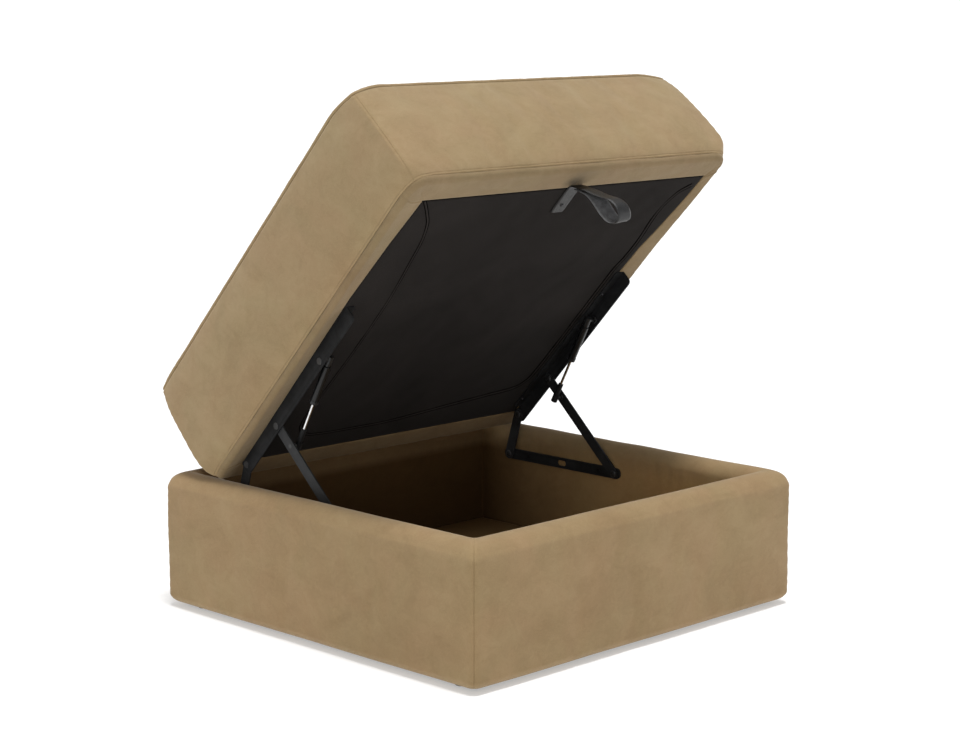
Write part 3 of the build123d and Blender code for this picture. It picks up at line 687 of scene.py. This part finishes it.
def lid_sides():
    prof = [(-1.6, 0.3), (-0.5, 0.12), (0.15, 0.45), (0.5, 1.0)]
    v = np.concatenate([(1.5, 2.0, 2.4, 2.8, 3.1, 3.4, 3.7, 4.0, 4.4, 4.9, 5.6, 6.5, 7.6, 9.0, 11.0), np.linspace(14.0, 196.0, 34), np.linspace(196.0, 207.0, 7)[1:]])
    prof += [(None, q) for q in v]
    prof += [(0.7, 208.9), (0.0, 210.2), (-1.6, 211.1), (-4.0, 211.3), (-7.4, 211.2), (-7.4, 160.0), (-7.4, 105.0), (-7.4, 50.0), (-7.4, 1.2)]
    nr = len(prof)
    skin = np.ones(nr)
    skin[-5:] = 0.0
    cols, seam = columns(6.0, LID_HX, LID_HY, 11.0)
    nc = len(cols)
    share = np.array([np.clip(4 * k[2] * (1 - k[2]), 0, 1) if k[0] == "s" else 0.0 for k in cols])
    belly = np.array([(2.2, 2.2, 2.8, 8.5)[k[1]] if k[0] == "s" else 0.0 for k in cols])
    flat = plan(cols, LID_HX, LID_HY, [11.0] * 4)
    near = corner_of(cols)
    bend = 11.0 * math.pi / 4
    panels = [settle(2 * (h - 11.0), PANEL_H, 55 + k) for k, h in enumerate((LID_HY, LID_HX, LID_HY, LID_HX))]
    run = np.concatenate([[0], np.cumsum(np.linalg.norm(np.diff(flat, axis=0), axis=1))])
    drop, dip = corner_drop(flat[:, 0], flat[:, 1]), corner_dip(flat[:, 0], flat[:, 1])
    V = np.zeros((nr, nc, 3))
    for j, (o, zz) in enumerate(prof):
        rr = radii(zz)
        out = fullness(zz) if o is None else o
        small = np.zeros(nc)
        if skin[j]:
            if o is None:
                swell = np.array([float(height_at(panels[q[1]], np.array(q[2] * panels[q[1]][0][-1]), np.array(zz))) if q[0] == "s" else 0.0 for q in cols])
                small += belly * (0.35 * share ** 0.6 * math.sin(math.pi * zz / PANEL_H) + 0.65 * swell)
            pts = np.stack([run, np.full(nc, zz * 1.2)], -1)
            small += np.clip(zz / 30.0, 0, 1) * np.clip((212 - zz) / 30.0, 0, 1) * (1.0 * waves(pts, 260.0, 51) + 0.4 * waves(pts, 95.0, 52))
            # felled edge above the lower seam: raised band, stitch line, small puckers
            small += 0.55 * math.exp(-(((zz - 1.5) / 1.2) ** 4)) - 0.75 * math.exp(-(((zz - 3.4) / 0.7) ** 2))
            puck = waves(np.stack([run, np.full(nc, zz * 0.25)], -1), 19.0, 53)
            small += 0.42 * puck * math.exp(-((zz - 4.0) / 13.0)) * (zz > 3.9)
            puck2 = waves(np.stack([run, np.full(nc, zz * 0.25)], -1), 23.0, 54)
            small += 0.42 * puck2 * math.exp(-((208.0 - zz) / 13.0)) * (zz > 150.0) * (zz < 208.5)
            # mitre seam at each corner
            turn = np.array([rr[k] / 11.0 for k in near])
            at = np.minimum(np.abs(seam), bend) * turn + np.maximum(np.abs(seam) - bend, 0.0)
            g = -1.1 * np.exp(-((at / 0.8) ** 2)) + 0.35 * np.exp(-(((at - 3.4) / 2.2) ** 2))
            g += 0.35 * np.exp(-((at / 13.0) ** 2)) * np.sin(zz * 2 * math.pi / 19.0 + 2.0 * np.sin(zz / 27.0))
            small += g
        hx, hy = LID_HX + out, LID_HY + out
        base = plan(cols, hx, hy, rr)
        nxt = plan(cols, hx + 1.0, hy + 1.0, [r + 1.0 for r in rr])
        nrm = nxt - base
        nrm /= np.linalg.norm(nrm, axis=1)[:, None]
        V[j, :, :2] = base + nrm * small[:, None]
        u = np.clip(zz / PANEL_H, 0, 1)
        V[j, :, 2] = zz - drop * np.clip((u - 0.35) / 0.65, 0, 1) ** 1.3 - dip * np.clip(1 - zz / 60.0, 0, 1) ** 1.5
    V[:, :, 1] -= LID_HY
    V[:, :, 0] += flare(V[:, :, 0], V[:, :, 1], V[:, :, 2]) * (skin > 0)[:, None]
    ob = make("lid_side_cover", to_world(V).reshape(-1, 3), ring_faces(nr, nc), M_TAN, "lid")
    # painted highlight: the felled band along the lower seam gets a lighter copy of the tan suede
    ob.data.materials.append(M_RIDGE_LIT)
    band = [j for j in range(nr) if skin[j] and 0.3 < prof[j][1] < 2.7 and j < 20]
    for f in ob.data.polygons:
        rows = [q // nc for q in f.vertices]
        if min(rows) >= band[0] and max(rows) <= band[-1] + 1:
            f.material_index = 1
    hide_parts("lid_panel_front", "lid_panel_back", "lid_panel_left", "lid_panel_right")
    return ob


def cut(x, y):
    """How far the dust cover's edge strays from a straight cut, at lid points x and y (y from the back)."""
    left = np.interp(-y, (44.0, 300.0, 510.0, 656.0, 745.0, 770.0), (0.0, -5.0, -9.0, -1.0, 8.0, 10.0))
    right = np.interp(-y, (44.0, 300.0, 492.0, 560.0, 607.0, 675.0, 706.0, 754.0, 770.0), (0.0, -4.0, -7.4, -2.5, 8.0, 19.0, 23.0, 27.0, 28.0))
    return left + (right - left) * np.clip((x + 365.0) / 730.0, 0, 1), 11.6 * np.clip((-44.35 - y) / 719.3, 0, 1)


def lid_border():
    prof = [(-7.4, -4.4), (-1.8, -0.3), (-0.6, -0.12), (0.1, -0.5), (0.35, -1.5), (0.35, -3.2), (0.1, -5.0), (-0.9, -7.0), (-2.6, -9.0), (-5.0, -10.6), (-8.0, -11.5)]
    prof += [(v, -11.5 + 3.6 * ((-8.0 - v) / 35.6) ** 1.25) for v in np.linspace(-10.0, -42.0, 33)]
    prof += [(-43.2, -7.5), (-43.8, -6.5), (-43.8, -5.3), (-30.0, -5.3), (-15.0, -5.3)]
    prof = np.array(prof)
    nr = len(prof)
    skin = np.ones(nr)
    skin[0] = 0
    skin[-4:] = 0.0
    cols, seam = columns(5.0, LID_HX, LID_HY, 14.0, [1.3 * k for k in range(32)])
    nc = len(cols)
    flat = plan(cols, LID_HX, LID_HY, R_LOW)
    run = np.concatenate([[0], np.cumsum(np.linalg.norm(np.diff(flat, axis=0), axis=1))])
    dip = corner_dip(flat[:, 0], flat[:, 1])
    V = np.zeros((nr, nc, 3))
    for j, (o, zz) in enumerate(prof):
        k = skin[j]
        rr = [max(2.0, r + o) for r in R_LOW]
        base = plan(cols, LID_HX + o, LID_HY + o, rr)
        V[j, :, :2] = base
        dz = np.zeros(nc)
        if k:
            pts = np.stack([run, np.full(nc, o * 1.4)], -1)
            edge = np.clip((43.8 + o) / 10.0, 0, 1)
            dz = edge * (0.45 * waves(pts, 130.0, 61) + 0.3 * waves(pts, 42.0, 62))
            puck = waves(np.stack([run, np.full(nc, o * 0.3)], -1), 17.0, 63)
            dz += 0.35 * puck * math.exp(o / 9.0) * (o < -1.0)
            dz += 0.3 * puck * math.exp(-(43.8 + o) / 7.0) * edge
        V[j, :, 2] = zz + dz - dip * np.clip(1 + o / 26.0, 0, 1) ** 1.5 * k
    V[:, :, 1] -= LID_HY
    share = np.clip(-prof[:, 0] / 43.8, 0, 1)[:, None]
    dx, dy = cut(V[:, :, 0], V[:, :, 1])
    V[:, :, 0] += share * dx + (1 - share) * flare(V[:, :, 0], V[:, :, 1], 0.0) * (skin > 0)[:, None]
    V[:, :, 1] += share * dy
    # corner seams of the border: a fine curved groove with a lifted edge, from the lower seam to the dust cover's corner
    flatv = V.reshape(-1, 3)
    for p0, p1, p2 in (((-412.0, -772.0), (-394.0, -750.0), (-357.0, -752.5)), ((421.0, -773.0), (406.0, -752.0), (392.0, -752.5)),
                       ((-410.0, -30.0), (-389.0, -43.0), (-365.5, -44.0)), ((410.0, -30.0), (389.0, -43.0), (365.5, -44.0))):
        q = np.linspace(0, 1, 80)[:, None]
        curve = (1 - q) ** 2 * np.array(p0) + 2 * q * (1 - q) * np.array(p1) + q ** 2 * np.array(p2)
        idx = np.where((np.abs(flatv[:, 0] - p1[0]) < 50) & (np.abs(flatv[:, 1] - p1[1]) < 50) & (np.repeat(skin, nc) > 0))[0]
        gap = np.linalg.norm(flatv[idx, None, :2] - curve[None], axis=2)
        d, side = gap.min(axis=1), flatv[idx, 1] - curve[gap.argmin(axis=1), 1]
        flatv[idx, 2] += 0.9 * np.exp(-((d / 1.1) ** 2)) - 0.8 * np.exp(-(((d - 2.4) / 1.3) ** 2)) * (side > 0)
    V = flatv.reshape(nr, nc, 3)
    ob = make("lid_border", to_world(V).reshape(-1, 3), ring_faces(nr, nc), M_BORDER_SHADED, "lid")
    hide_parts("lid_border_front", "lid_border_back", "lid_border_left", "lid_border_right")
    return ob


def rounded_grid(n, hx, hy, radii4):
    """A square grid stretched onto a rounded rectangle; corner order as in plan()."""
    s = np.linspace(-1, 1, n)
    S, T = np.meshgrid(s, s, indexing="ij")
    out = np.zeros((n, n, 2))
    rho = np.maximum(np.abs(S), np.abs(T))
    corner = {(1, 1): 0, (-1, 1): 1, (-1, -1): 2, (1, -1): 3}
    for i in range(n):
        for j in range(n):
            q = rho[i, j]
            if q < 1e-9:
                continue
            a, b = S[i, j] / q, T[i, j] / q
            sx, sy = (1 if a >= 0 else -1), (1 if b >= 0 else -1)
            r = radii4[corner[(sx, sy)]] * q
            wx, wy = hx * q, hy * q
            if abs(a) >= abs(b):
                straight = wy - r
                d = abs(b) * (straight + r * math.pi / 4)
                if d <= straight:
                    out[i, j] = (sx * wx, sy * d)
                else:
                    g = (d - straight) / r
                    out[i, j] = (sx * (wx - r + r * math.cos(g)), sy * (wy - r + r * math.sin(g)))
            else:
                straight = wx - r
                d = abs(a) * (straight + r * math.pi / 4)
                if d <= straight:
                    out[i, j] = (sx * d, sy * wy)
                else:
                    g = (d - straight) / r
                    out[i, j] = (sx * (wx - r + r * math.sin(g)), sy * (wy - r + r * math.cos(g)))
    return out, rho


def lid_top():
    n = 131
    hx, hy = LID_HX - 7.6, LID_HY - 7.6
    rr = [max(3.0, r - 7.6) for r in R_TOP]
    P, rho = rounded_grid(n, hx, hy, rr)
    d = (1 - rho) * min(hx, hy)
    x, y = P[..., 0] / hx, P[..., 1] / hy
    crown = height_at(settle(2 * hx, 2 * hy, 75, 16.0), (x + 1) * hx, (y + 1) * hy)
    Z = 212.6 + 6.2 * (1 - np.exp(-d / 7.0)) + 11.0 * crown
    Z += np.clip(d / 40.0, 0, 1) * (0.9 * waves(P, 280.0, 71) + 0.35 * waves(P, 110.0, 72))
    Z -= corner_drop(P[..., 0] * LID_HX / hx, P[..., 1] * LID_HY / hy)
    along = np.stack([P[..., 0] + P[..., 1] * 0.3, P[..., 1] - P[..., 0] * 0.3], -1)
    Z += 0.35 * waves(along, 21.0, 73) * np.exp(-d / 13.0) * np.clip(d / 3.0, 0, 1)
    top = np.stack([P[..., 0], P[..., 1] - LID_HY, Z], -1).reshape(-1, 3)
    f = grid_faces(n, n)
    rim = [i * n for i in range(n)] + [(n - 1) * n + j for j in range(1, n)] + [i * n + n - 1 for i in range(n - 2, -1, -1)] + [j for j in range(n - 2, 0, -1)]
    low = top[rim].copy()
    low[:, 2] -= 3.8
    k = len(top)
    m = len(rim)
    for a in range(m):
        b = (a + 1) % m
        f.append((rim[a], rim[b], k + b, k + a))
    f.append(tuple(range(k, k + m)))
    shell = np.vstack([top, low])
    shell[:, 0] += flare(shell[:, 0], shell[:, 1], shell[:, 2])
    ob = make("lid_top_cover", to_world(shell), f, M_TAN, "lid")
    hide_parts("lid_top_panel")
    return ob


def lid_welt():
    cols, seam = columns(6.0, LID_HX, LID_HY, 14.0)
    nc = len(cols)
    path = plan(cols, LID_HX - 4.0, LID_HY - 4.0, [max(5.0, r - 4.0) for r in R_TOP])
    nxt = plan(cols, LID_HX - 3.0, LID_HY - 3.0, [max(6.0, r - 3.0) for r in R_TOP])
    nrm = nxt - path
    nrm /= np.linalg.norm(nrm, axis=1)[:, None]
    run = np.concatenate([[0], np.cumsum(np.linalg.norm(np.diff(path, axis=0), axis=1))])
    m = 18
    V = np.zeros((m, nc, 3))
    r0 = 3.9 + 0.14 * waves(run[:, None], 26.0, 81) + 0.10 * waves(run[:, None], 9.0, 82)
    up = 0.35 * waves(run[:, None], 120.0, 83)
    drop = corner_drop(path[:, 0] * LID_HX / (LID_HX - 4.0), path[:, 1] * LID_HY / (LID_HY - 4.0))
    for j in range(m):
        a = 2 * math.pi * j / m
        V[j, :, :2] = path + nrm * (r0 * math.cos(a))[:, None]
        V[j, :, 2] = 215.3 + up + r0 * math.sin(a) - drop
    V[:, :, 1] -= LID_HY
    V[:, :, 0] += flare(V[:, :, 0], V[:, :, 1], V[:, :, 2])
    ob = make("lid_piping", to_world(V).reshape(-1, 3), ring_faces(m, nc), M_TAN, "lid")
    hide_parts("lid_welt")
    return ob


sides_ob, border_ob, top_ob, welt_ob = lid_sides(), lid_border(), lid_top(), lid_welt()


def stitches(name, path, nrm, up, pitch, length, radius, mat, body):
    """Thread stitches along a closed or open path; nrm points out of the cloth, all mm."""
    path = np.asarray(path, float)
    seg = np.linalg.norm(np.diff(path, axis=0), axis=1)
    s = np.concatenate([[0], np.cumsum(seg)])
    V, F = [], []
    total = s[-1]
    count = int(total / pitch)
    ring = 6
    rows = [(-0.5, 0.35), (-0.42, 0.8), (-0.2, 1.0), (0.2, 1.0), (0.42, 0.8), (0.5, 0.35)]
    for k in range(count):
        mid = (k + 0.5) * pitch
        i = min(np.searchsorted(s, mid) - 1, len(seg) - 1)
        f = (mid - s[i]) / seg[i]
        p = path[i] + (path[i + 1] - path[i]) * f
        t = (path[i + 1] - path[i]) / seg[i]
        n = nrm[i] + (nrm[i + 1] - nrm[i]) * f
        n = n / np.linalg.norm(n)
        b = np.cross(t, n)
        t = t + 0.10 * b
        t /= np.linalg.norm(t)
        at = len(V)
        for u, w in rows:
            sink = -0.45 * radius * (abs(u) * 2) ** 3
            for q in range(ring):
                a = 2 * math.pi * q / ring
                V.append(p + t * (u * length) + n * (radius * w * math.sin(a) + sink) + b * (radius * w * math.cos(a)))
        for r in range(len(rows) - 1):
            for q in range(ring):
                F.append((at + r * ring + q, at + r * ring + (q + 1) % ring, at + (r + 1) * ring + (q + 1) % ring, at + (r + 1) * ring + q))
        F.append(tuple(at + q for q in range(ring))[::-1])
        F.append(tuple(at + (len(rows) - 1) * ring + q for q in range(ring)))
    return make(name, np.array(V), F, mat, body)


def lower_stitch():
    cols, _ = columns(6.0, LID_HX, LID_HY, 11.0)
    off = fullness(3.4) - 0.62
    rr = radii(3.4)
    path = plan(cols, LID_HX + off, LID_HY + off, rr)
    nxt = plan(cols, LID_HX + off + 1, LID_HY + off + 1, [r + 1 for r in rr])
    nrm = nxt - path
    nrm /= np.linalg.norm(nrm, axis=1)[:, None]
    p3 = np.c_[path[:, 0], path[:, 1] - LID_HY, 3.4 - 0.92 * corner_dip(path[:, 0], path[:, 1])]
    p3[:, 0] += flare(p3[:, 0], p3[:, 1], p3[:, 2])
    p3 = np.vstack([p3, p3[:1]])
    n3 = np.c_[nrm, np.zeros(len(nrm))]
    n3 = np.vstack([n3, n3[:1]])
    w = to_world(p3)
    wn = to_world(p3 + n3) - w
    ob = stitches("lid_topstitch", w, wn, None, 4.6, 3.2, 0.30, M_THREAD, "lid")
    return ob


lower_stitch()


# ------------------------------------------------------------------ lid dust cover with its double line, whose dark edges are painted shadow
def dust_cover():
    hx, y0, y1 = 365.0, -763.65, -44.35
    nu, nv = 122, 120
    X, Y = np.meshgrid(np.linspace(-hx, hx, nu), np.linspace(y0, y1, nv), indexing="ij")
    P = np.stack([X, Y], -1)
    d = np.minimum(hx - np.abs(X), np.minimum(Y - y0, y1 - Y))
    e = np.clip(d / 30.0, 0, 1)
    dz = e * (0.35 * waves(P, 170.0, 91) + 0.22 * waves(P, 60.0, 92)) + 0.25 * waves(P * [1, 1], 24.0, 93) * np.exp(-d / 12.0) * e
    zl = -7.0 + dz + 0.4 * np.exp(-((d / 3.0) ** 2))
    dx, dy = cut(X, Y)
    low = np.stack([X + dx, Y + dy, zl], -1).reshape(-1, 3)
    up = np.stack([X + dx, Y + dy, zl + 0.8], -1).reshape(-1, 3)
    n = nu * nv
    f = grid_faces(nu, nv) + grid_faces(nu, nv, n, True)
    rim = [i * nv for i in range(nu)] + [(nu - 1) * nv + j for j in range(1, nv)] + [i * nv + nv - 1 for i in range(nu - 2, -1, -1)] + [j for j in range(nv - 2, 0, -1)]
    for a, b in zip(rim, rim[1:] + rim[:1]):
        f.append((a, b, b + n, a + n))
    ob = make("lid_underside", to_world(np.vstack([low, up])), f, M_DUST, "lid")
    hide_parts("lid_dust_cover")
    return ob


def smooth_path(pts, n, closed=False):
    """Catmull-Rom through the points."""
    pts = np.asarray(pts, float)
    if closed:
        ext = np.vstack([pts[-1], pts, pts[0], pts[1]])
    else:
        ext = np.vstack([2 * pts[0] - pts[1], pts, 2 * pts[-1] - pts[-2]])
    out = []
    for i in range(1, len(ext) - 2):
        p0, p1, p2, p3 = ext[i - 1], ext[i], ext[i + 1], ext[i + 2]
        for k in range(n):
            t = k / n
            out.append(0.5 * (2 * p1 + (p2 - p0) * t + (2 * p0 - 5 * p1 + 4 * p2 - p3) * t * t + (3 * p1 - p0 - 3 * p2 + p3) * t ** 3))
    if not closed:
        out.append(ext[-2])
    return np.array(out)


def ribbon_tube(name, path, normal, half_w, height, mat, body, seg=10, power=2.0):
    """A low rounded bead along a path lying on a surface."""
    path = np.asarray(path, float)
    t = np.gradient(path, axis=0)
    t /= np.linalg.norm(t, axis=1)[:, None]
    nrm = np.broadcast_to(np.asarray(normal, float), path.shape)
    b = np.cross(t, nrm)
    half_w, height = np.broadcast_to(half_w, len(path)), np.broadcast_to(height, len(path))
    V = []
    for i in range(len(path)):
        for k in range(seg):
            a = 2 * math.pi * k / seg
            V.append(path[i] + b[i] * half_w[i] * math.cos(a) + nrm[i] * height[i] * math.sin(a))
    F = []
    for i in range(len(path) - 1):
        for k in range(seg):
            F.append((i * seg + k, i * seg + (k + 1) % seg, (i + 1) * seg + (k + 1) % seg, (i + 1) * seg + k))
    F.append(tuple(range(seg))[::-1])
    F.append(tuple((len(path) - 1) * seg + k for k in range(seg)))
    return make(name, np.array(V), F, mat, body)


dust_ob = dust_cover()
LINE = [(-349.0, -750.0), (-338.0, -737.0), (-320.0, -714.0), (-305.0, -692.0), (-294.0, -664.0), (-286.0, -633.0), (-280.0, -585.0), (-274.0, -538.0), (-268.0, -462.0),
        (-268.0, -360.0), (-272.0, -260.0), (-278.0, -170.0), (-270.0, -124.0), (-244.0, -100.0), (-200.0, -93.0), (-100.0, -92.0), (-20.0, -94.0), (60.0, -104.0), (130.0, -113.0),
        (220.0, -124.0), (290.0, -132.0), (318.0, -146.0), (330.0, -180.0), (332.0, -300.0), (332.0, -420.0), (332.3, -490.0), (338.1, -522.4), (341.0, -554.8), (339.6, -587.2),
        (334.6, -624.6), (332.6, -656.7), (336.3, -681.3), (344.7, -700.6), (354.0, -713.5), (376.0, -728.0)]
line_c = smooth_path(LINE, 8)
line_t = np.gradient(line_c, axis=0)
line_t /= np.linalg.norm(line_t, axis=1)[:, None]
line_n = np.c_[-line_t[:, 1], line_t[:, 0]]
down = to_world((0, 0, -1.0)) - to_world((0, 0, 0.0))
right = np.clip((line_c[:, 0] + 250.0) / 500.0, 0, 1)  # the line is sewn looser on the right
# painted shadow: two near-black strips along both sides of the bead
for tag, o in (("a", 1.0), ("b", -1.0)):
    q = line_c + line_n * (o * (2.7 + 1.7 * right))[:, None]
    broad = 0.7 + 0.65 * right
    ob = ribbon_tube("dust_cover_shadow_line_" + tag, to_world(np.c_[q, np.full(len(q), -7.1)]), down, broad, 0.55, M_DUST_SHADOW_LINE, "lid", seg=8)
# the bead, in the lighter copy of the dust cover as painted highlight
ob = ribbon_tube("dust_cover_bead", to_world(np.c_[line_c, np.full(len(line_c), -7.05)]), down, 1.8 + 0.9 * right, 0.75 + 0.35 * right, M_DUST_BEAD_LIT, "lid", seg=12)
# painted shadow: a near-black strip along the dust cover's front edge
fold_x = np.linspace(-356.0, 391.0, 60)
ob = ribbon_tube("dust_cover_fold_shadow", to_world(np.c_[fold_x, np.full(60, -751.6), np.full(60, -6.95)]), down, 0.9, 0.45, M_DUST_SHADOW_LINE, "lid", seg=8)


# ------------------------------------------------------------------ pull strap
def strap():
    x0, half, th = 22.0, 17.0, 1.2
    pts = [(-688.5, -8.3), (-705.0, -8.3), (-725.0, -8.3), (-745.0, -8.35), (-753.5, -8.6), (-759.0, -10.2), (-763.0, -14.6), (-771.0, -27.5), (-780.5, -42.8), (-789.0, -59.0), (-798.4, -75.0),
           (-808.3, -90.0), (-812.8, -107.0), (-809.2, -122.6), (-799.6, -130.7), (-788.6, -127.6), (-780.1, -114.4), (-778.4, -96.0), (-779.8, -78.0), (-779.8, -61.0), (-776.5, -45.5), (-767.5, -30.0), (-762.0, -20.5)]
    path = smooth_path(pts, 7)
    n = len(path)
    t = np.gradient(path, axis=0)
    t /= np.linalg.norm(t, axis=1)[:, None]
    nr = np.c_[-t[:, 1], t[:, 0]]
    s = np.concatenate([[0], np.cumsum(np.linalg.norm(np.diff(path, axis=0), axis=1))])
    BACK_LEAF = s[np.argmin(path[:, 1])]  # where the loop turns back
    # cross-section: flat band with rounded, slightly raised edges
    sec = []
    for sgn in (1, -1):
        w = np.linspace(1, -1, 11) * sgn
        for q in w:
            e = abs(q)
            sec.append((half * (q if e < 0.999 else q), sgn * th * (1.0 - 0.75 * max(0.0, (e - 0.86) / 0.14) ** 2 + 0.10 * math.exp(-(((e - 0.80) / 0.07) ** 2)))))
    m = len(sec)
    V = []
    for i in range(n):
        # the loop cups across its width
        drift = 0.0
        cup = 0.6 * math.sin(math.pi * np.clip((s[i] - 90) / 150.0, 0, 1))
        taper = 1.0 - 0.05 * math.exp(-((s[i] / 4.0) ** 2))
        # the returning leaf turns towards the left
        turn = math.radians(14.0) * math.sin(math.pi * np.clip((s[i] - BACK_LEAF) / (s[-1] - 12.0 - BACK_LEAF), 0, 1)) ** 0.8
        for w, h in sec:
            w, h = w * taper, h + cup * (w / half) ** 2
            q = path[i] + nr[i] * (h * math.cos(turn) + w * math.sin(turn))
            V.append((x0 + drift + w * math.cos(turn) - h * math.sin(turn), q[0], q[1]))
    F = []
    for i in range(n - 1):
        for k in range(m):
            F.append((i * m + k, i * m + (k + 1) % m, (i + 1) * m + (k + 1) % m, (i + 1) * m + k))
    F.append(tuple(range(m))[::-1])
    F.append(tuple((n - 1) * m + k for k in range(m)))
    ob = make("pull_strap", to_world(np.array(V)), F, M_LEATHER)
    # painted highlight: a much lighter copy of the leather on the inner face of the loop's returning leaf
    ob.data.materials.append(M_LEATHER_LIT)
    for f in ob.data.polygons:
        i, k = min(f.vertices) // m, [q % m for q in f.vertices]
        if max(k) <= 10 and i < n - 1 and s[i] > BACK_LEAF - 14.0:
            f.material_index = 1
    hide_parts("strap_tail", "strap_loop")

    def at(y, z):
        return tuple(to_world((x0, y, z)) / 1000.0)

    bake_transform(ob)
    return ob


strap_ob = strap()


# ------------------------------------------------------------------ CAD pieces that stay
def look_of(name):
    if "board" in name or "frame" in name or "deck" in name or name == "floor_panel":
        return M_WOOD
    if "foam" in name:
        return M_FOAM
    if "glide" in name or "rod_end" in name:
        return M_PLASTIC
    if "screw" in name:
        return M_BLACK_ZINC
    if "pins" in name:
        return M_RIVET
    if "cylinder" in name:
        return M_CYL
    if "strut_rod" in name:
        return M_CHROME
    if "hinge_rail" in name:
        return M_RAIL
    return M_HINGE


for name, ob in NODES.items():
    if ob.hide_render:
        continue
    mat = look_of(name)
    if not ob.material_slots:
        ob.data.materials.append(mat)
    for sl in ob.material_slots:
        sl.material = mat
    if mat in (M_HINGE, M_RAIL, M_CYL, M_PLASTIC, M_ZINC, M_BLACK_ZINC, M_RIVET) and "foam" not in name:
        bv = ob.modifiers.new("edges", "BEVEL")
        bv.width = 0.0004
        bv.segments = 2
        bv.limit_method = "ANGLE"
        bv.angle_limit = math.radians(40)
        bv.harden_normals = False

# ------------------------------------------------------------------ floor, light
bpy.ops.mesh.primitive_plane_add(size=1500.0, location=(0, 0, -0.0005))
ground = bpy.context.object
ground.name = "ground"
gm, nt, p = new_mat("pale_floor")
g = noise(nt, coords(nt), 2.0, 2.0)
nt.links.new(ramp(nt, g, [(0.3, (0.62, 0.62, 0.62)), (0.7, (0.635, 0.635, 0.635))]), p.inputs["Base Color"])
p.inputs["Roughness"].default_value = 1.0
p.inputs["Specular IOR Level"].default_value = 0.0
p.inputs["Emission Color"].default_value = (1.0, 1.0, 1.0, 1.0)
p.inputs["Emission Strength"].default_value = 0.39
ground.data.materials.append(gm)

world = bpy.data.worlds.new("studio")
scene.world = world
world.use_nodes = True
wn = world.node_tree
bg = wn.nodes["Background"]
wtc = node(wn, "ShaderNodeTexCoord")
sep = node(wn, "ShaderNodeSeparateXYZ")
wn.links.new(wtc.outputs["Generated"], sep.inputs[0])
sky = ramp(wn, sep.outputs["Z"], [(0.0, (1.75, 1.75, 1.75)), (0.11, (1.6, 1.6, 1.6)), (0.21, (0.34, 0.34, 0.34)), (0.70, (0.30, 0.30, 0.30)), (0.90, (0.60, 0.60, 0.60)), (1.0, (0.60, 0.60, 0.60))])
tall = ramp(wn, sep.outputs["Z"], [(0.0, (1.05, 1.05, 1.05)), (0.20, (1.12, 1.12, 1.12)), (0.45, (0.85, 0.85, 0.85)), (0.60, (0.32, 0.32, 0.32)), (0.70, (0.30, 0.30, 0.30)), (0.90, (0.60, 0.60, 0.60)), (1.0, (0.60, 0.60, 0.60))])
sky = mix_col(wn, math_n(wn, "MULTIPLY_ADD", sep.outputs["X"], -2.0, -0.3, clamp=True), sky, tall)  # a taller soft box on the left
wn.links.new(sky, bg.inputs[0])
bg.inputs[1].default_value = 1.0


sun_data = bpy.data.lights.new("overhead", "SUN")
sun_data.energy = 2.55
sun_data.angle = math.radians(12.0)
sun = bpy.data.objects.new("overhead", sun_data)
scene.collection.objects.link(sun)
sun.location = (0.3, 1.0, 4.0)
sun.rotation_euler = (-Vector((-0.02, -0.09, 1.0))).to_track_quat("-Z", "Y").to_euler()

scene.view_settings.view_transform = "Standard"
scene.view_settings.look = "None"
scene.view_settings.exposure = 0.0
scene.view_settings.gamma = 1.0
